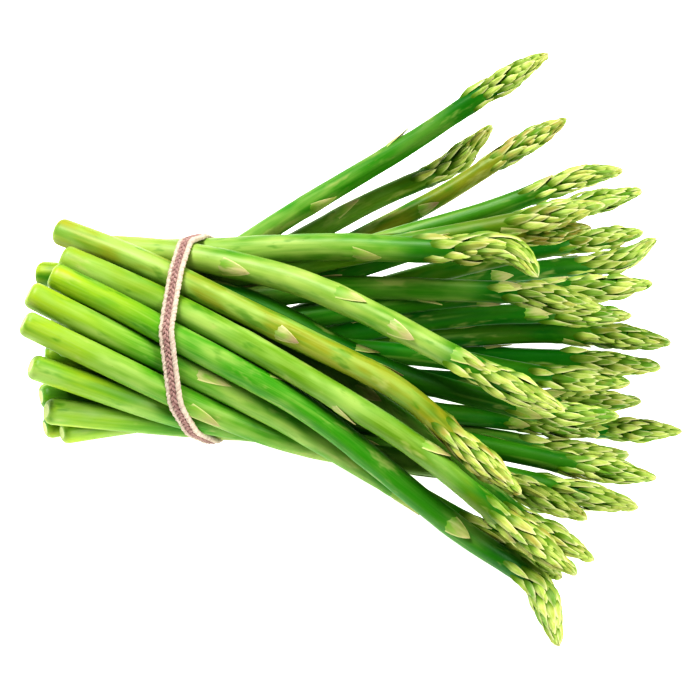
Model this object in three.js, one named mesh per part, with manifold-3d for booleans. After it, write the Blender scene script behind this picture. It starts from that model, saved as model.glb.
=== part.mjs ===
// A bundle of green asparagus lying on its side: thirty-one spears held by one braided tie.
// Millimetres, +Z up. The butts point toward -X and the tips fan out toward +X.
//
// The spears are laid out on a board that leans back: u runs along the bundle, v up the board,
// and w stands out from the board. Each route is drawn on the board by hand. The depth w follows
// from the twist of the sheaf, and a settling pass then moves touching spears apart.
import * as THREE from "three";
import { mergeVertices } from "three/addons/utils/BufferGeometryUtils.js";
import Module from "manifold-3d";

const wasm = await Module();
wasm.setup();

const DEG = Math.PI / 180;
const TAU = 2 * Math.PI;

// ---- the sheaf ----
const BOARD_NORMAL_RISE = 50 * DEG; // the board's normal stands this far above the horizon
const TWIST = 0.0124; // turn of the sheaf round its own axis, radians per mm
const SPREAD = 0.0014; // how fast the sheaf opens away from the tie, per mm
const AXIS_HEIGHT = 38.5; // of the sheaf's axis at the tie, above the ground
const REST_SINK = 0.3; // the lowest spears are pressed flat by this much where they lie
const GROUND = { half: 400, deep: 50 }; // of the block that is cut away under the bundle
const CLEARANCE = 0.6; // kept free round every stem
const LAYER_KEEP = 0.5; // how much of its height over the ground at the tie a low spear keeps
const LAYER_MOST = 12; // up to this height

// ---- a spear ----
const STEM_SIDES = 10;
const LINE_STEPS = 160; // pieces of a spear's measured middle line
const STEM_TAPER = 1.5; // power of the stem's taper: it narrows mostly near the head
const STEM_STEPS_LEAST = 3; // stem rings between the butt and the head, on a straight spear
const BEND_PER_STEP = 8 * DEG; // and one more for each bend of this much
const BEND_SPAN = 9; // a stem's direction is read over twice this length
const BEND_SEARCH_STEPS = 60;
const BUTT_SCALE = 1.04; // butt thickness over the nominal thickness
const NECK_SCALE = 0.86; // thickness under the head over the nominal thickness
const BUTT_RIM_SCALE = 0.84; // radius of the flat cut over the stem's
const BUTT_ROUNDING = 1.1; // length of the rounded edge of the cut
const HEAD_LENGTHS = 3.9; // head length over thickness
const HEAD_BULGE = 0.42; // how far the head swells past the neck
const HEAD_BULGE_REACH = 1.15; // the swelling ends before the tip
const HEAD_TIP_SHARE = 0.62; // part of the head that tapers to the tip
const HEAD_TIP_POWER = 2.1; // how blunt the tip is
const HEAD_ROOM = 1.04; // room kept round the head over its outline
const HEAD_LATTICE = { start: 0.04, span: 0.9 }; // where the rows of scales begin, and their share
const SCALES_ROUND = 5; // scales in one row of the head
const HEAD_ROWS = 7; // rows of the head's scale lattice
const SCALE_RELIEF = 0.2; // depth of the scales over the head's radius
const SCALE_RELIEF_LEAST = 0.25; // share of it at the foot of the head
const SCALE_TIP_OVER = 0.6; // how far a scale's tip reaches over the next row
const APEX_BACK = 0.2; // the last scales close this far short of the tip
const BRACTS_OUTSIDE = 4; // triangular leaves on a stem at the front or the top
const BRACTS_INSIDE = 3; // and on a stem that the others hide
const HOLD_OUTSIDE = 0.5; // spears held at least this firmly are the outside ones
const BRACT_FIRST = 5; // gap from the head to the first bract's tip
const BRACT_STEP = 23; // spacing of the bracts near the head
const BRACT_STEP_GROWTH = 7; // the spacing grows toward the butt
const BRACT_TURN = 137.5 * DEG; // from one bract to the next
const BRACT_LENGTH = 1.15; // over the stem's thickness
const BRACT_HALF_ANGLE = 38 * DEG; // of the bract's foot round the stem
const BRACT_RISE = 0.75; // height of its tip above the stem
const BRACT_KEEL = 0.55; // shares of its length, back from the tip: its keel,
const BRACT_SHOULDER = 0.86; // the widest place of its foot,
const BRACT_UNDER_TIP = 0.06; // and its root under the tip
const BRACT_EDGE_SINK = 0.15; // depths below the stem's skin: its edges,
const BRACT_TIP_SINK = 0.9; // its root under the tip,
const BRACT_ROOT_SINK = 1.6; // and under its foot
const BRACT_ROOT_HALF = 0.8; // half angle of the root over that of the foot

// ---- the tie ----
const TIE_WIDTH = 7;
const TIE_THICKNESS = 1.7;
const TIE_GAP = 0.3; // between the tie and the spears
const TIE_SLACK = 1; // more room under the spears for the tie where it lies on the ground
const TIE_AXIS_U = 5.0; // where the tie's plane crosses the sheaf's axis
const TIE_LEAN_V = -0.03; // slope of the tie's plane along v
const TIE_LEAN_W = -0.42; // slope of the tie's plane along w
const TIE_STEPS = 44;
const TIE_EDGE_SCALE = 0.6; // thickness of the band at its edges over that of its middle
const TIE_ON_STEM = 0.2; // share of a stem's length at which the tie holds it
const CROSSING_ROUNDS = 12; // of the search for where a spear crosses the tie's plane
const TIE_SQUEEZE = { v: 31, w: 24.5 }; // half axes that the spears' centres are pulled into
const PLAIT_RELIEF = 0.3; // how far the plait's crossings stand out
const KNOT_ANGLE = -40 * DEG; // where the knot sits round the tie, at the back of the bundle
const KNOT_HALF = { across: 4.6, round: 3.8, out: 2.2 };
const KNOT_SINK = 1.2; // how deep the knot sits in the band
const TAIL = { length: 13, width: 3, thickness: 1.3, endScale: 0.7, flare: 40 * DEG, spread: 18 * DEG };

// Colours of the spears, light to deep, and of the twine.
const GREENS = [0x9ccb45, 0x86b83a, 0x6f9f31];
const TWINE_COLOUR = 0xd9c8a8;
const SKIN_ROUGHNESS = 0.4;
const TWINE_ROUGHNESS = 0.9;

// Each spear: thickness, depth w at the tie, turn of its scales in degrees, its green,
// hold (how firmly its route across the board is kept, 0 to 1), its route [u, v] from butt to tip,
// and lift (how much its tip stands out past where the twist puts it).
const SPEARS = [
  // the front, from the top down
  [10.4, 8.5, 10, 0, 1,
    [[-42, 33], [0, 30.6], [20, 26.8], [30, 24.8], [38, 22.9], [68, 11], [100, -5.5],
      [132, -21.5], [149, -29]], 4],
  [10.0, 17.5, 70, 0, 1,
    [[-53, 43], [-20, 30.5], [12, 15], [56, -6.5], [90, -25], [108, -42], [132, -62]], 0],
  [10.0, 24, 130, 0, 1,
    [[-51, 32], [-24, 20.5], [12, 2.5], [60, -25], [92, -45], [112, -61.5], [154, -94]], 14],
  [10.0, 25.5, 190, 0, 1,
    [[-55, 25], [-20, 7.5], [12, -9.5], [44, -26], [76, -50.5], [94, -65.7], [110, -78],
      [118.3, -84.3], [134, -93.5], [142, -104.5], [146.6, -123]], 9],
  [10.0, 23.5, 250, 0, 1,
    [[-64, 18], [-36, 4], [0, -14], [44, -36], [76, -55], [124, -82], [148, -95.5]], 0],
  [9.6, 18.5, 310, 0, 0.7,
    [[-66, 6.5], [-36, -7.5], [0, -25], [36, -40], [76, -49], [112, -54], [124, -57], [140, -64],
      [158.5, -72]], 0],
  [9.4, 11, 50, 1, 0.5, [[-63, -11], [-28, -22], [0, -31], [40, -38], [110, -53], [179, -67.5]], 0],
  [9.4, 1, 110, 1, 0.8,
    [[-57, -29], [-2, -33.5], [60, -35.5], [124, -38], [154, -44.5], [175.5, -47]], 0],
  [8.2, -9.5, 170, 1, 0.9,
    [[-51, -38], [-2, -31], [60, -29], [116, -32], [164, -36.5], [197, -37.5]], 0],
  // the top
  [11.0, -2, 230, 0, 1,
    [[-47, 32], [6, 31.8], [30, 33.3], [68, 35], [104, 34], [118, 35.5], [130, 33.6],
      [134.5, 31], [137, 26.5], [137.8, 23.6]], 0],
  [9.2, 2, 290, 1, 0.8, [[-56, 14], [0, 13], [58, 20.5], [100, 19.5], [132, 18], [164, 12]], 0],
  [9.0, 6.5, 350, 1, 0.8,
    [[-61, 26], [0, 22.5], [32, 12.5], [60, -3.5], [84, -14], [100, -19], [120, -24.4],
      [130, -27.2], [150, -30.5], [171, -31]], 0],
  [9.4, 13, 30, 1, 0.8, [[-54, 19], [0, 10.5], [56, -15], [100, -45], [124, -66.5], [161, -88.5]], 0],
  // the upper fan
  [8.4, -18.5, 90, 1, 1,
    [[-50, 10], [0, 24.5], [44, 52], [64, 64], [84, 75.4], [100, 86.5], [116, 97], [143, 113.5]], 0],
  [8.4, -23.5, 150, 1, 1,
    [[-52, 0], [0, 18], [44, 40.5], [60, 49], [76, 57.5], [104, 69.5], [121, 85]], 0],
  [8.0, -26, 210, 2, 1,
    [[-54, -13], [0, 6], [72, 42.5], [100, 56.5], [124, 72], [151, 88]], 0],
  [8.4, -11.5, 270, 0, 0.8,
    [[-55, 6.5], [0, 15.5], [84, 41], [124, 52.3], [140, 58.5], [154, 64], [164, 66],
      [173, 66.8]], 0],
  [8.2, -15, 330, 1, 0.6, [[-57, -5.5], [0, 5.5], [84, 34], [140, 49], [181, 59]], 0],
  [9.0, -5, 20, 0, 0.8, [[-53, 20], [0, 25.5], [60, 36], [112, 43.5], [144, 49], [165.5, 53]], 0],
  [8.0, -12, 80, 2, 0.6,
    [[-56, 22], [0, 27.5], [30, 31], [60, 34.5], [100, 38.5], [130, 41], [160, 44]], 0],
  // the inside and the back, which show their heads only
  [8.4, -15.5, 140, 1, 0.4, [[-55, -15], [0, -5], [90, 24], [140, 36], [182, 42.5]], 0],
  [8.4, -26.5, 200, 1, 0.4,
    [[-58, -24], [0, -5.5], [90, 20], [130, 26], [148, 28.5], [162, 29.3], [172, 31.2],
      [180, 34.8], [187, 40.8]], 0],
  [9.0, 3.5, 260, 0, 0.4,
    [[-54, 4], [0, 3], [60, 10.5], [90, 15.5], [120, 18.3], [150, 19.7], [172, 20.3], [185, 22]], 0],
  [8.6, 2, 320, 1, 0.4,
    [[-58, -7.5], [0, -8], [60, 1.5], [90, 6.5], [115, 9.2], [140, 10], [177, 9]], 0],
  [8.8, -12.5, 40, 2, 0.4, [[-60, -23.5], [0, -15.5], [90, -4], [150, 0], [193, -2]], 0],
  [8.6, -23.5, 100, 2, 0.4,
    [[-56, -31], [0, -16], [60, -8], [94, -5.5], [110, -6.5], [150, -7.5], [189, -11.5]], -5],
  [8.6, 14.5, 160, 1, 0.4,
    [[-55, 9], [0, -1], [60, -3.5], [84, -5.5], [100, -7], [140, -15], [176, -18]], 0],
  [8.4, 7, 220, 1, 0.9,
    [[-50, -16.5], [0, -22.5], [60, -17], [90, -17.5], [110, -19], [146.5, -17]], 10],
  [8.6, -18, 280, 1, 0.4,
    [[-58, -36], [0, -25], [60, -18], [90, -17], [110, -19.5], [130, -22], [150, -23.5],
      [181, -25.5]], 0],
  [7.8, 13, 340, 1, 0.6,
    [[-52, -3], [0, -14], [60, -27], [84, -31.5], [105, -34], [133, -36.5], [150, -37.5],
      [164, -38.2]], 0],
  [8.8, -4, 60, 1, 0.4, [[-59, -23.5], [0, -22.5], [90, -38], [186.5, -56]], 0],
];

const clamp = (value, low, high) => Math.min(high, Math.max(low, value));

/** A smooth curve through hand-set points [u, value]: cubic pieces with averaged slopes at the points. */
function curveThrough(points) {
  const last = points.length - 1;
  const chord = (k) => (points[k + 1][1] - points[k][1]) / (points[k + 1][0] - points[k][0]);
  const slopes = points.map((point, k) => {
    if (k === 0) return chord(0);
    if (k === last) return chord(last - 1);
    const before = points[k][0] - points[k - 1][0];
    const after = points[k + 1][0] - points[k][0];
    return (chord(k - 1) * after + chord(k) * before) / (before + after);
  });
  return (u) => {
    if (u <= points[0][0]) return points[0][1] + slopes[0] * (u - points[0][0]);
    if (u >= points[last][0]) return points[last][1] + slopes[last] * (u - points[last][0]);
    let k = 0;
    while (u > points[k + 1][0]) k += 1;
    const span = points[k + 1][0] - points[k][0];
    const t = (u - points[k][0]) / span;
    const rise = t * t * (3 - 2 * t);
    return (
      points[k][1] * (1 - rise) +
      points[k + 1][1] * rise +
      span * t * (1 - t) * ((1 - t) * slopes[k] - t * slopes[k + 1])
    );
  };
}

/** Height above the ground of a place on the board. */
const heightOf = (v, w) => AXIS_HEIGHT + v * Math.cos(BOARD_NORMAL_RISE) + w * Math.sin(BOARD_NORMAL_RISE);

/** Depth w at which a place v on the board is as high above the ground as asked. */
const depthAtHeight = (v, height) =>
  (height - AXIS_HEIGHT - v * Math.cos(BOARD_NORMAL_RISE)) / Math.sin(BOARD_NORMAL_RISE);

/** Board place to the object's own axes. */
function fromBoard(u, v, w) {
  const sin = Math.sin(BOARD_NORMAL_RISE);
  const cos = Math.cos(BOARD_NORMAL_RISE);
  return new THREE.Vector3(u, v * sin - w * cos, AXIS_HEIGHT + v * cos + w * sin);
}

/** Half thickness of the stem, from the butt (0) to the neck (1). */
const stemRadius = (spear, share) =>
  (spear.thickness / 2) * (BUTT_SCALE + (NECK_SCALE - BUTT_SCALE) * clamp(share, 0, 1) ** STEM_TAPER);

/** Half thickness of the head's outline, from its foot (0) to its tip (1). */
function headRadius(spear, share) {
  const neck = stemRadius(spear, 1);
  const swell = 1 + HEAD_BULGE * Math.sin(Math.PI * clamp(share * HEAD_BULGE_REACH, 0, 1)) ** 1.5;
  const toTip = clamp((1 - share) / HEAD_TIP_SHARE, 0, 1);
  return neck * swell * Math.sqrt(1 - (1 - toTip) ** HEAD_TIP_POWER);
}

/** Half thickness of the room that a spear takes, at a distance back from its tip. */
function roomRadius(spear, fromTip, length) {
  const head = spear.headLength;
  if (fromTip < head) return headRadius(spear, 1 - fromTip / head) * HEAD_ROOM + CLEARANCE;
  return stemRadius(spear, 1 - (fromTip - head) / (length - head)) + CLEARANCE;
}

// ---- settling: the spears are pushed apart until each has its room ----

const STATION_STEP = 6;
const STATION_FIRST = -84;
const STATIONS = 51;
const SETTLING_PASSES = 1200;
const EASING_ROUNDS = 2;
const SAG_PER_PASS = 0.002; // loose ends sink by this much until something carries them
const SQUEEZE_UNTIL = 0.8; // share of the passes in which the tie squeezes and loose ends sag
const SQUEEZE_STEP = { v: 0.25, w: 0.25 }; // share of the way that one squeeze goes
const SQUEEZE_HELD = 0.7; // a held spear's route gives way less to the squeeze
const EASE_ALL_UNTIL = 0.9; // share of the passes with every easing round
const EASE_STEP = 0.45;
const PUSH_HELD = 0.8; // a held spear's route gives way less when it is pushed
const PUSH_FLOOR = 0.02; // keeps the push finite for two held spears
const REST_LIFT = 0.55; // a spear starts this share of its thickness above the ground
const stationU = (k) => STATION_FIRST + k * STATION_STEP;

const spears = SPEARS.map(([thickness, depth, turn, green, hold, route, lift], index) => {
  const board = curveThrough(route);
  const u0 = route[0][0];
  const u1 = route.at(-1)[0];
  const v0 = board(0);
  const swung = (u) =>
    depth * (1 + SPREAD * u) + TWIST * u * v0 + lift * THREE.MathUtils.smoothstep(u, u1 / 4, u1);
  // a spear that lies over others at the tie is carried by them further on
  const carried = LAYER_KEEP * clamp(heightOf(v0, depth) - thickness / 2, 0, LAYER_MOST);
  return {
    name: `spear_${String(index + 1).padStart(2, "0")}`,
    thickness,
    turn: turn * DEG,
    green,
    hold,
    bracts: hold < HOLD_OUTSIDE ? BRACTS_INSIDE : BRACTS_OUTSIDE,
    u0,
    u1,
    headLength: HEAD_LENGTHS * thickness,
    board,
    depthAt: (u) => Math.max(swung(u), depthAtHeight(board(u), thickness * REST_LIFT + carried)),
  };
});

/** Places and room of one spear at every station, before settling. */
function layOut(spear) {
  const places = Array.from({ length: STATIONS }, (_, k) => {
    const u = stationU(k);
    return [spear.board(u), spear.depthAt(u)];
  });
  const length = new Float64Array(STATIONS);
  for (let k = 1; k < STATIONS; k += 1) {
    const [v, w] = places[k];
    const [vBefore, wBefore] = places[k - 1];
    length[k] = length[k - 1] + Math.hypot(STATION_STEP, v - vBefore, w - wBefore);
  }
  const lengthAt = (u) => {
    const x = clamp((u - STATION_FIRST) / STATION_STEP, 0, STATIONS - 1.001);
    const k = Math.floor(x);
    return length[k] + (length[k + 1] - length[k]) * (x - k);
  };
  const whole = lengthAt(spear.u1) - lengthAt(spear.u0);
  const room = places.map((place, k) => {
    const u = stationU(k);
    if (u < spear.u0 - STATION_STEP || u > spear.u1 + STATION_STEP / 2) return 0;
    return roomRadius(spear, Math.max(0, lengthAt(spear.u1) - length[k]), whole);
  });
  return { spear, start: places.map((p) => [...p]), places, room };
}

/** Pushes two places apart across their common direction, by what they lack. */
function pushApart(a, b, k) {
  const [va, wa] = a.places[k];
  const [vb, wb] = b.places[k];
  const before = Math.max(0, k - 1);
  const after = Math.min(STATIONS - 1, k + 1);
  const slope = (side) =>
    (a.places[after][side] - a.places[before][side] + b.places[after][side] - b.places[before][side]) /
    (2 * (after - before) * STATION_STEP);
  const along = new THREE.Vector3(1, slope(0), slope(1)).normalize();
  const apart = new THREE.Vector3(0, vb - va, wb - wa);
  const across = apart.clone().addScaledVector(along, -apart.dot(along));
  const distance = across.length();
  const lack = a.room[k] + b.room[k] - distance;
  if (lack <= 0 || distance < 1e-6) return 0;
  const n = across.divideScalar(distance);
  for (const [chain, sign] of [[a, -1], [b, 1]]) {
    const give = 1 - PUSH_HELD * chain.spear.hold;
    const scale = (sign * lack * 0.5) / (n.y * n.y * give + n.z * n.z + PUSH_FLOOR);
    chain.places[k][0] += scale * n.y * give;
    chain.places[k][1] += scale * n.z;
  }
  return lack;
}

/** How far u lies past the tie's plane, at a place [v, w]. */
const pastTie = (u, [v, w]) => u - TIE_AXIS_U - TIE_LEAN_V * v - TIE_LEAN_W * w;

/** Keeps a spear off the ground, and inside the tie where it passes through it. */
function keepInBounds(chain, k, squeezed) {
  const place = chain.places[k];
  const inTie = Math.abs(pastTie(stationU(k), place)) < 2 * TIE_WIDTH;
  const ground = inTie ? TIE_THICKNESS + TIE_GAP + TIE_SLACK : 0;
  const lowest = depthAtHeight(place[0], chain.room[k] - CLEARANCE - REST_SINK + ground);
  if (squeezed && !inTie) place[1] -= SAG_PER_PASS;
  if (place[1] < lowest) place[1] = lowest;
  if (!squeezed || !inTie) return;
  const reach = Math.hypot(place[0] / TIE_SQUEEZE.v, place[1] / TIE_SQUEEZE.w);
  if (reach > 1) {
    place[0] *= 1 + (1 / reach - 1) * SQUEEZE_STEP.v * (1 - SQUEEZE_HELD * chain.spear.hold);
    place[1] *= 1 + (1 / reach - 1) * SQUEEZE_STEP.w;
  }
}

/** Spreads what was pushed along the spear, so that the stem bends gently. */
function easeBends(chain) {
  const { places, start, room } = chain;
  const active = places.map((_, k) => k).filter((k) => room[k] > 0);
  const first = active[0];
  const last = active.at(-1);
  for (const side of [0, 1]) {
    const off = places.map((place, k) => place[side] - start[k][side]);
    off[first - 1] = 2 * off[first] - off[first + 1];
    off[last + 1] = 2 * off[last] - off[last - 1];
    for (const k of active) places[k][side] += EASE_STEP * (off[k - 1] + off[k + 1] - 2 * off[k]);
  }
}

function settle(chains) {
  for (let pass = 0; pass < SETTLING_PASSES; pass += 1) {
    const progress = pass / SETTLING_PASSES;
    for (let k = 0; k < STATIONS; k += 1) {
      for (let i = 0; i < chains.length; i += 1) {
        if (chains[i].room[k] === 0) continue;
        for (let j = i + 1; j < chains.length; j += 1) {
          if (chains[j].room[k] > 0) pushApart(chains[i], chains[j], k);
        }
        keepInBounds(chains[i], k, progress < SQUEEZE_UNTIL);
      }
    }
    const rounds = progress < EASE_ALL_UNTIL ? EASING_ROUNDS : 1;
    for (const chain of chains) {
      for (let n = 0; n < rounds; n += 1) easeBends(chain);
    }
  }
}

const chains = spears.map(layOut);
settle(chains);

/** The settled middle line of a spear, in the object's own axes, with its lengths. */
function middleLine(chain) {
  const { spear, places } = chain;
  const side = (n) => curveThrough(places.map((place, k) => [stationU(k), place[n]]));
  const v = side(0);
  const w = side(1);
  const steps = LINE_STEPS;
  const reach = spear.u1 - spear.u0;
  const us = Array.from({ length: steps + 1 }, (_, n) => spear.u0 + (reach * n) / steps);
  const points = us.map((u) => fromBoard(u, v(u), w(u)));
  const lengths = [0];
  for (let n = 1; n <= steps; n += 1) {
    lengths.push(lengths[n - 1] + points[n].distanceTo(points[n - 1]));
  }
  const whole = lengths[steps];
  const uAt = (s) => {
    let n = 0;
    while (n < steps - 1 && lengths[n + 1] < s) n += 1;
    return us[n] + ((us[n + 1] - us[n]) * (s - lengths[n])) / (lengths[n + 1] - lengths[n]);
  };
  const pointAt = (s) => {
    const u = uAt(s);
    return fromBoard(u, v(u), w(u));
  };
  return { pointAt, uAt, whole, v, w };
}

const BOARD_NORMAL = new THREE.Vector3(0, -Math.cos(BOARD_NORMAL_RISE), Math.sin(BOARD_NORMAL_RISE));

/** Place on or in a spear: s along it, angle from the board's normal, radius from the middle line. */
function placeOn(line, s, angle, radius) {
  const middle = line.pointAt(s);
  const along = line.pointAt(s + 0.5).sub(line.pointAt(s - 0.5)).normalize();
  const face = BOARD_NORMAL.clone().addScaledVector(along, -BOARD_NORMAL.dot(along)).normalize();
  const side = new THREE.Vector3().crossVectors(along, face);
  middle.addScaledVector(face, radius * Math.cos(angle));
  return middle.addScaledVector(side, radius * Math.sin(angle));
}

/** Lengths along the stem where its rings stand: more of them, and closer, where it bends. */
function ringPlaces(line, from, to) {
  const steps = BEND_SEARCH_STEPS;
  const direction = (s) =>
    line.pointAt(s + BEND_SPAN).sub(line.pointAt(s - BEND_SPAN)).normalize();
  const evenShare = STEM_STEPS_LEAST / steps;
  const sums = [0];
  for (let n = 1; n <= steps; n += 1) {
    const a = from + ((to - from) * (n - 1)) / steps;
    const b = from + ((to - from) * n) / steps;
    sums.push(sums[n - 1] + evenShare + direction(a).angleTo(direction(b)) / BEND_PER_STEP);
  }
  const rings = Math.round(sums[steps]);
  const places = [];
  for (let ring = 0; ring <= rings; ring += 1) {
    const goal = (sums[steps] * ring) / rings;
    let n = 1;
    while (n < steps && sums[n] < goal) n += 1;
    const t = (goal - sums[n - 1]) / (sums[n] - sums[n - 1]);
    places.push(from + ((to - from) * (n - 1 + t)) / steps);
  }
  return places;
}

/** Stem and scaly head in one closed surface. */
function stemAndHead(spear, line) {
  const corners = [];
  const faces = [];
  const add = (s, angle, radius) => corners.push(placeOn(line, s, angle, radius)) - 1;
  const neckAt = line.whole - spear.headLength;
  const stepAngle = TAU / STEM_SIDES;

  const ring = (s, radius) =>
    Array.from({ length: STEM_SIDES }, (_, n) => add(s, spear.turn + n * stepAngle, radius));
  const join = (low, high) => {
    for (let n = 0; n < STEM_SIDES; n += 1) {
      const m = (n + 1) % STEM_SIDES;
      faces.push([low[n], low[m], high[m]], [low[n], high[m], high[n]]);
    }
  };

  // the butt: a cut end with a rounded edge
  const butt = add(0, 0, 0);
  let below = ring(0, stemRadius(spear, 0) * BUTT_RIM_SCALE);
  for (let n = 0; n < STEM_SIDES; n += 1) {
    faces.push([butt, below[(n + 1) % STEM_SIDES], below[n]]);
  }

  // the stem
  for (const s of ringPlaces(line, BUTT_ROUNDING, neckAt)) {
    const next = ring(s, stemRadius(spear, (s - BUTT_ROUNDING) / (neckAt - BUTT_ROUNDING)));
    join(below, next);
    below = next;
  }

  // the head: a lattice of rhombs, each one scale whose keel and tip stand out over the next
  const rowAt = (row) => HEAD_LATTICE.start + (HEAD_LATTICE.span * row) / HEAD_ROWS;
  const rowAngle = (row, n) => spear.turn + (2 * n + (row % 2)) * stepAngle;
  const rowPlace = (row) => neckAt + spear.headLength * rowAt(row);
  const inner = [];
  const tips = [];
  for (let row = 0; row <= HEAD_ROWS; row += 1) {
    const outline = headRadius(spear, rowAt(row));
    const sunk = outline * (1 - SCALE_RELIEF * clamp(row / 2, SCALE_RELIEF_LEAST, 1));
    const place = rowPlace(row);
    const round = Array.from({ length: SCALES_ROUND }, (_, n) => rowAngle(row, n));
    inner.push(round.map((angle) => add(place, angle, sunk)));
    tips.push(row < 2 ? [] : round.map((angle) => add(place + SCALE_TIP_OVER, angle, outline)));
  }
  const at = (list, n) => list[(n + SCALES_ROUND) % SCALES_ROUND];
  for (let n = 0; n < SCALES_ROUND; n += 1) {
    const even = at(inner[0], n);
    const odd = at(inner[1], n);
    const nextEven = at(inner[0], n + 1);
    const stemEven = below[2 * n];
    const stemOdd = below[2 * n + 1];
    const stemNext = below[(2 * n + 2) % STEM_SIDES];
    faces.push([stemEven, stemOdd, odd], [stemEven, odd, even]);
    faces.push([stemOdd, stemNext, nextEven], [stemOdd, nextEven, odd]);
  }
  for (let row = 0; row + 2 <= HEAD_ROWS; row += 1) {
    const shift = row % 2; // neighbours in the next row: left is n - 1 + shift, right is n + shift
    const keelRadius = headRadius(spear, rowAt(row + 1));
    for (let n = 0; n < SCALES_ROUND; n += 1) {
      const foot = at(inner[row], n);
      const left = at(inner[row + 1], n - 1 + shift);
      const right = at(inner[row + 1], n + shift);
      const above = at(inner[row + 2], n);
      const tip = at(tips[row + 2], n);
      const keel = add(rowPlace(row + 1), rowAngle(row, n), keelRadius);
      faces.push([foot, right, keel], [right, tip, keel], [tip, left, keel], [left, foot, keel]);
      faces.push([right, above, tip], [left, tip, above]);
    }
  }

  // the tip
  const apex = add(line.whole - APEX_BACK, 0, 0);
  const shift = (HEAD_ROWS - 1) % 2;
  for (let n = 0; n < SCALES_ROUND; n += 1) {
    const low = at(inner[HEAD_ROWS - 1], n);
    const left = at(inner[HEAD_ROWS], n - 1 + shift);
    const right = at(inner[HEAD_ROWS], n + shift);
    faces.push([low, right, apex], [low, apex, left]);
  }
  return { corners, faces };
}

/** Lengths along the stem, and angles, where the bracts' tips stand, kept clear of the tie. */
function bractPlaces(spear, line) {
  const places = [];
  const long = BRACT_LENGTH * spear.thickness;
  for (let n = 0; n < spear.bracts; n += 1) {
    const fromTip = spear.headLength + BRACT_FIRST + BRACT_STEP * n + BRACT_STEP_GROWTH * n * n;
    let tipAt = line.whole - fromTip;
    const u = line.uAt(tipAt);
    const past = pastTie(u, [line.v(u), line.w(u)]);
    if (past > -TIE_WIDTH && past < TIE_WIDTH + long) tipAt += TIE_WIDTH + long - past;
    places.push([tipAt, spear.turn + n * BRACT_TURN]);
  }
  return places;
}

/** One bract: a triangular blade that hugs the stem, wide at its foot, with its tip standing off. */
function bract(spear, line, tipAt, angle) {
  const neckAt = line.whole - spear.headLength;
  const long = BRACT_LENGTH * spear.thickness;
  const radiusAt = (s) => stemRadius(spear, (s - BUTT_ROUNDING) / (neckAt - BUTT_ROUNDING));
  const corner = (back, sideways, off) => {
    const s = tipAt - back * long;
    return placeOn(line, s, angle + sideways * BRACT_HALF_ANGLE, radiusAt(s) + off);
  };
  const corners = [
    corner(0, 0, BRACT_RISE), // 0 tip
    corner(BRACT_KEEL, 0, BRACT_RISE), // 1 keel
    corner(1, 0, -BRACT_EDGE_SINK), // 2 middle of the foot
    corner(BRACT_SHOULDER, 1, -BRACT_EDGE_SINK), // 3 right of the foot
    corner(BRACT_SHOULDER, -1, -BRACT_EDGE_SINK), // 4 left of the foot
    corner(BRACT_UNDER_TIP, 0, -BRACT_TIP_SINK), // 5 under the tip
    corner(BRACT_SHOULDER, BRACT_ROOT_HALF, -BRACT_ROOT_SINK), // 6 under the right
    corner(BRACT_SHOULDER, -BRACT_ROOT_HALF, -BRACT_ROOT_SINK), // 7 under the left
  ];
  const faces = [
    [0, 1, 3], [0, 4, 1], [1, 2, 3], [1, 4, 2], // the outer face
    [0, 3, 6], [0, 6, 5], [0, 5, 7], [0, 7, 4], // the edges
    [2, 6, 3], [2, 4, 7], [2, 7, 6], [5, 6, 7], // the foot and the root in the stem
  ];
  return { corners, faces };
}

/** A closed surface as a manifold solid. */
function solidOf({ corners, faces }) {
  const mesh = new wasm.Mesh({
    numProp: 3,
    vertProperties: new Float32Array(corners.flatMap((corner) => corner.toArray())),
    triVerts: new Uint32Array(faces.flat()),
  });
  mesh.merge();
  return new wasm.Manifold(mesh);
}

/** A three.js mesh from a manifold solid. */
function meshOf(name, solid, colour, roughness) {
  const { vertProperties, triVerts } = solid.getMesh();
  const geometry = new THREE.BufferGeometry();
  geometry.setAttribute("position", new THREE.BufferAttribute(vertProperties, 3));
  geometry.setIndex(new THREE.BufferAttribute(triVerts, 1));
  const material = new THREE.MeshStandardMaterial({ color: colour, roughness });
  const mesh = new THREE.Mesh(geometry, material);
  mesh.name = name;
  return mesh;
}

/** A box of the given corners, as a manifold solid. */
function boxSolid(low, high) {
  const size = new THREE.Vector3().subVectors(high, low);
  const box = new THREE.BoxGeometry(size.x, size.y, size.z);
  box.translate(...new THREE.Vector3().addVectors(low, high).multiplyScalar(0.5).toArray());
  return solidOf(surfaceOf(box));
}

// ---- the tie: a flat braid drawn tight round the spears ----

/** Where each spear passes a plane beside the tie's own, with the room that it takes there. */
function sectionsAt(lines, offset) {
  const tilt = Math.hypot(1, TIE_LEAN_V, TIE_LEAN_W);
  return lines.map(({ chain, line }) => {
    const plane = (v, w) => TIE_AXIS_U + offset * tilt + TIE_LEAN_V * v + TIE_LEAN_W * w;
    let u = TIE_AXIS_U;
    for (let n = 0; n < CROSSING_ROUNDS; n += 1) u = plane(line.v(u), line.w(u));
    const along = new THREE.Vector3(1, line.v(u + 1) - line.v(u), line.w(u + 1) - line.w(u)).normalize();
    return { v: line.v(u), w: line.w(u), along, radius: stemRadius(chain.spear, TIE_ON_STEM) };
  });
}

/** Reach of the stems' oblique sections in the tie's plane, seen along u, in one direction. */
function reachOf(sections, angle) {
  const out = new THREE.Vector3(0, Math.cos(angle), Math.sin(angle));
  const planeNormal = new THREE.Vector3(1, -TIE_LEAN_V, -TIE_LEAN_W);
  const reaches = sections.map(({ v, w, along, radius }) => {
    // a round stem cut by a leaning plane reaches radius * |out - normal (along.out) / (along.normal)|
    const across = out.clone().addScaledVector(planeNormal, -along.dot(out) / along.dot(planeNormal));
    return v * out.y + w * out.z + radius * across.length() + TIE_GAP;
  });
  return Math.max(...reaches);
}

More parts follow.
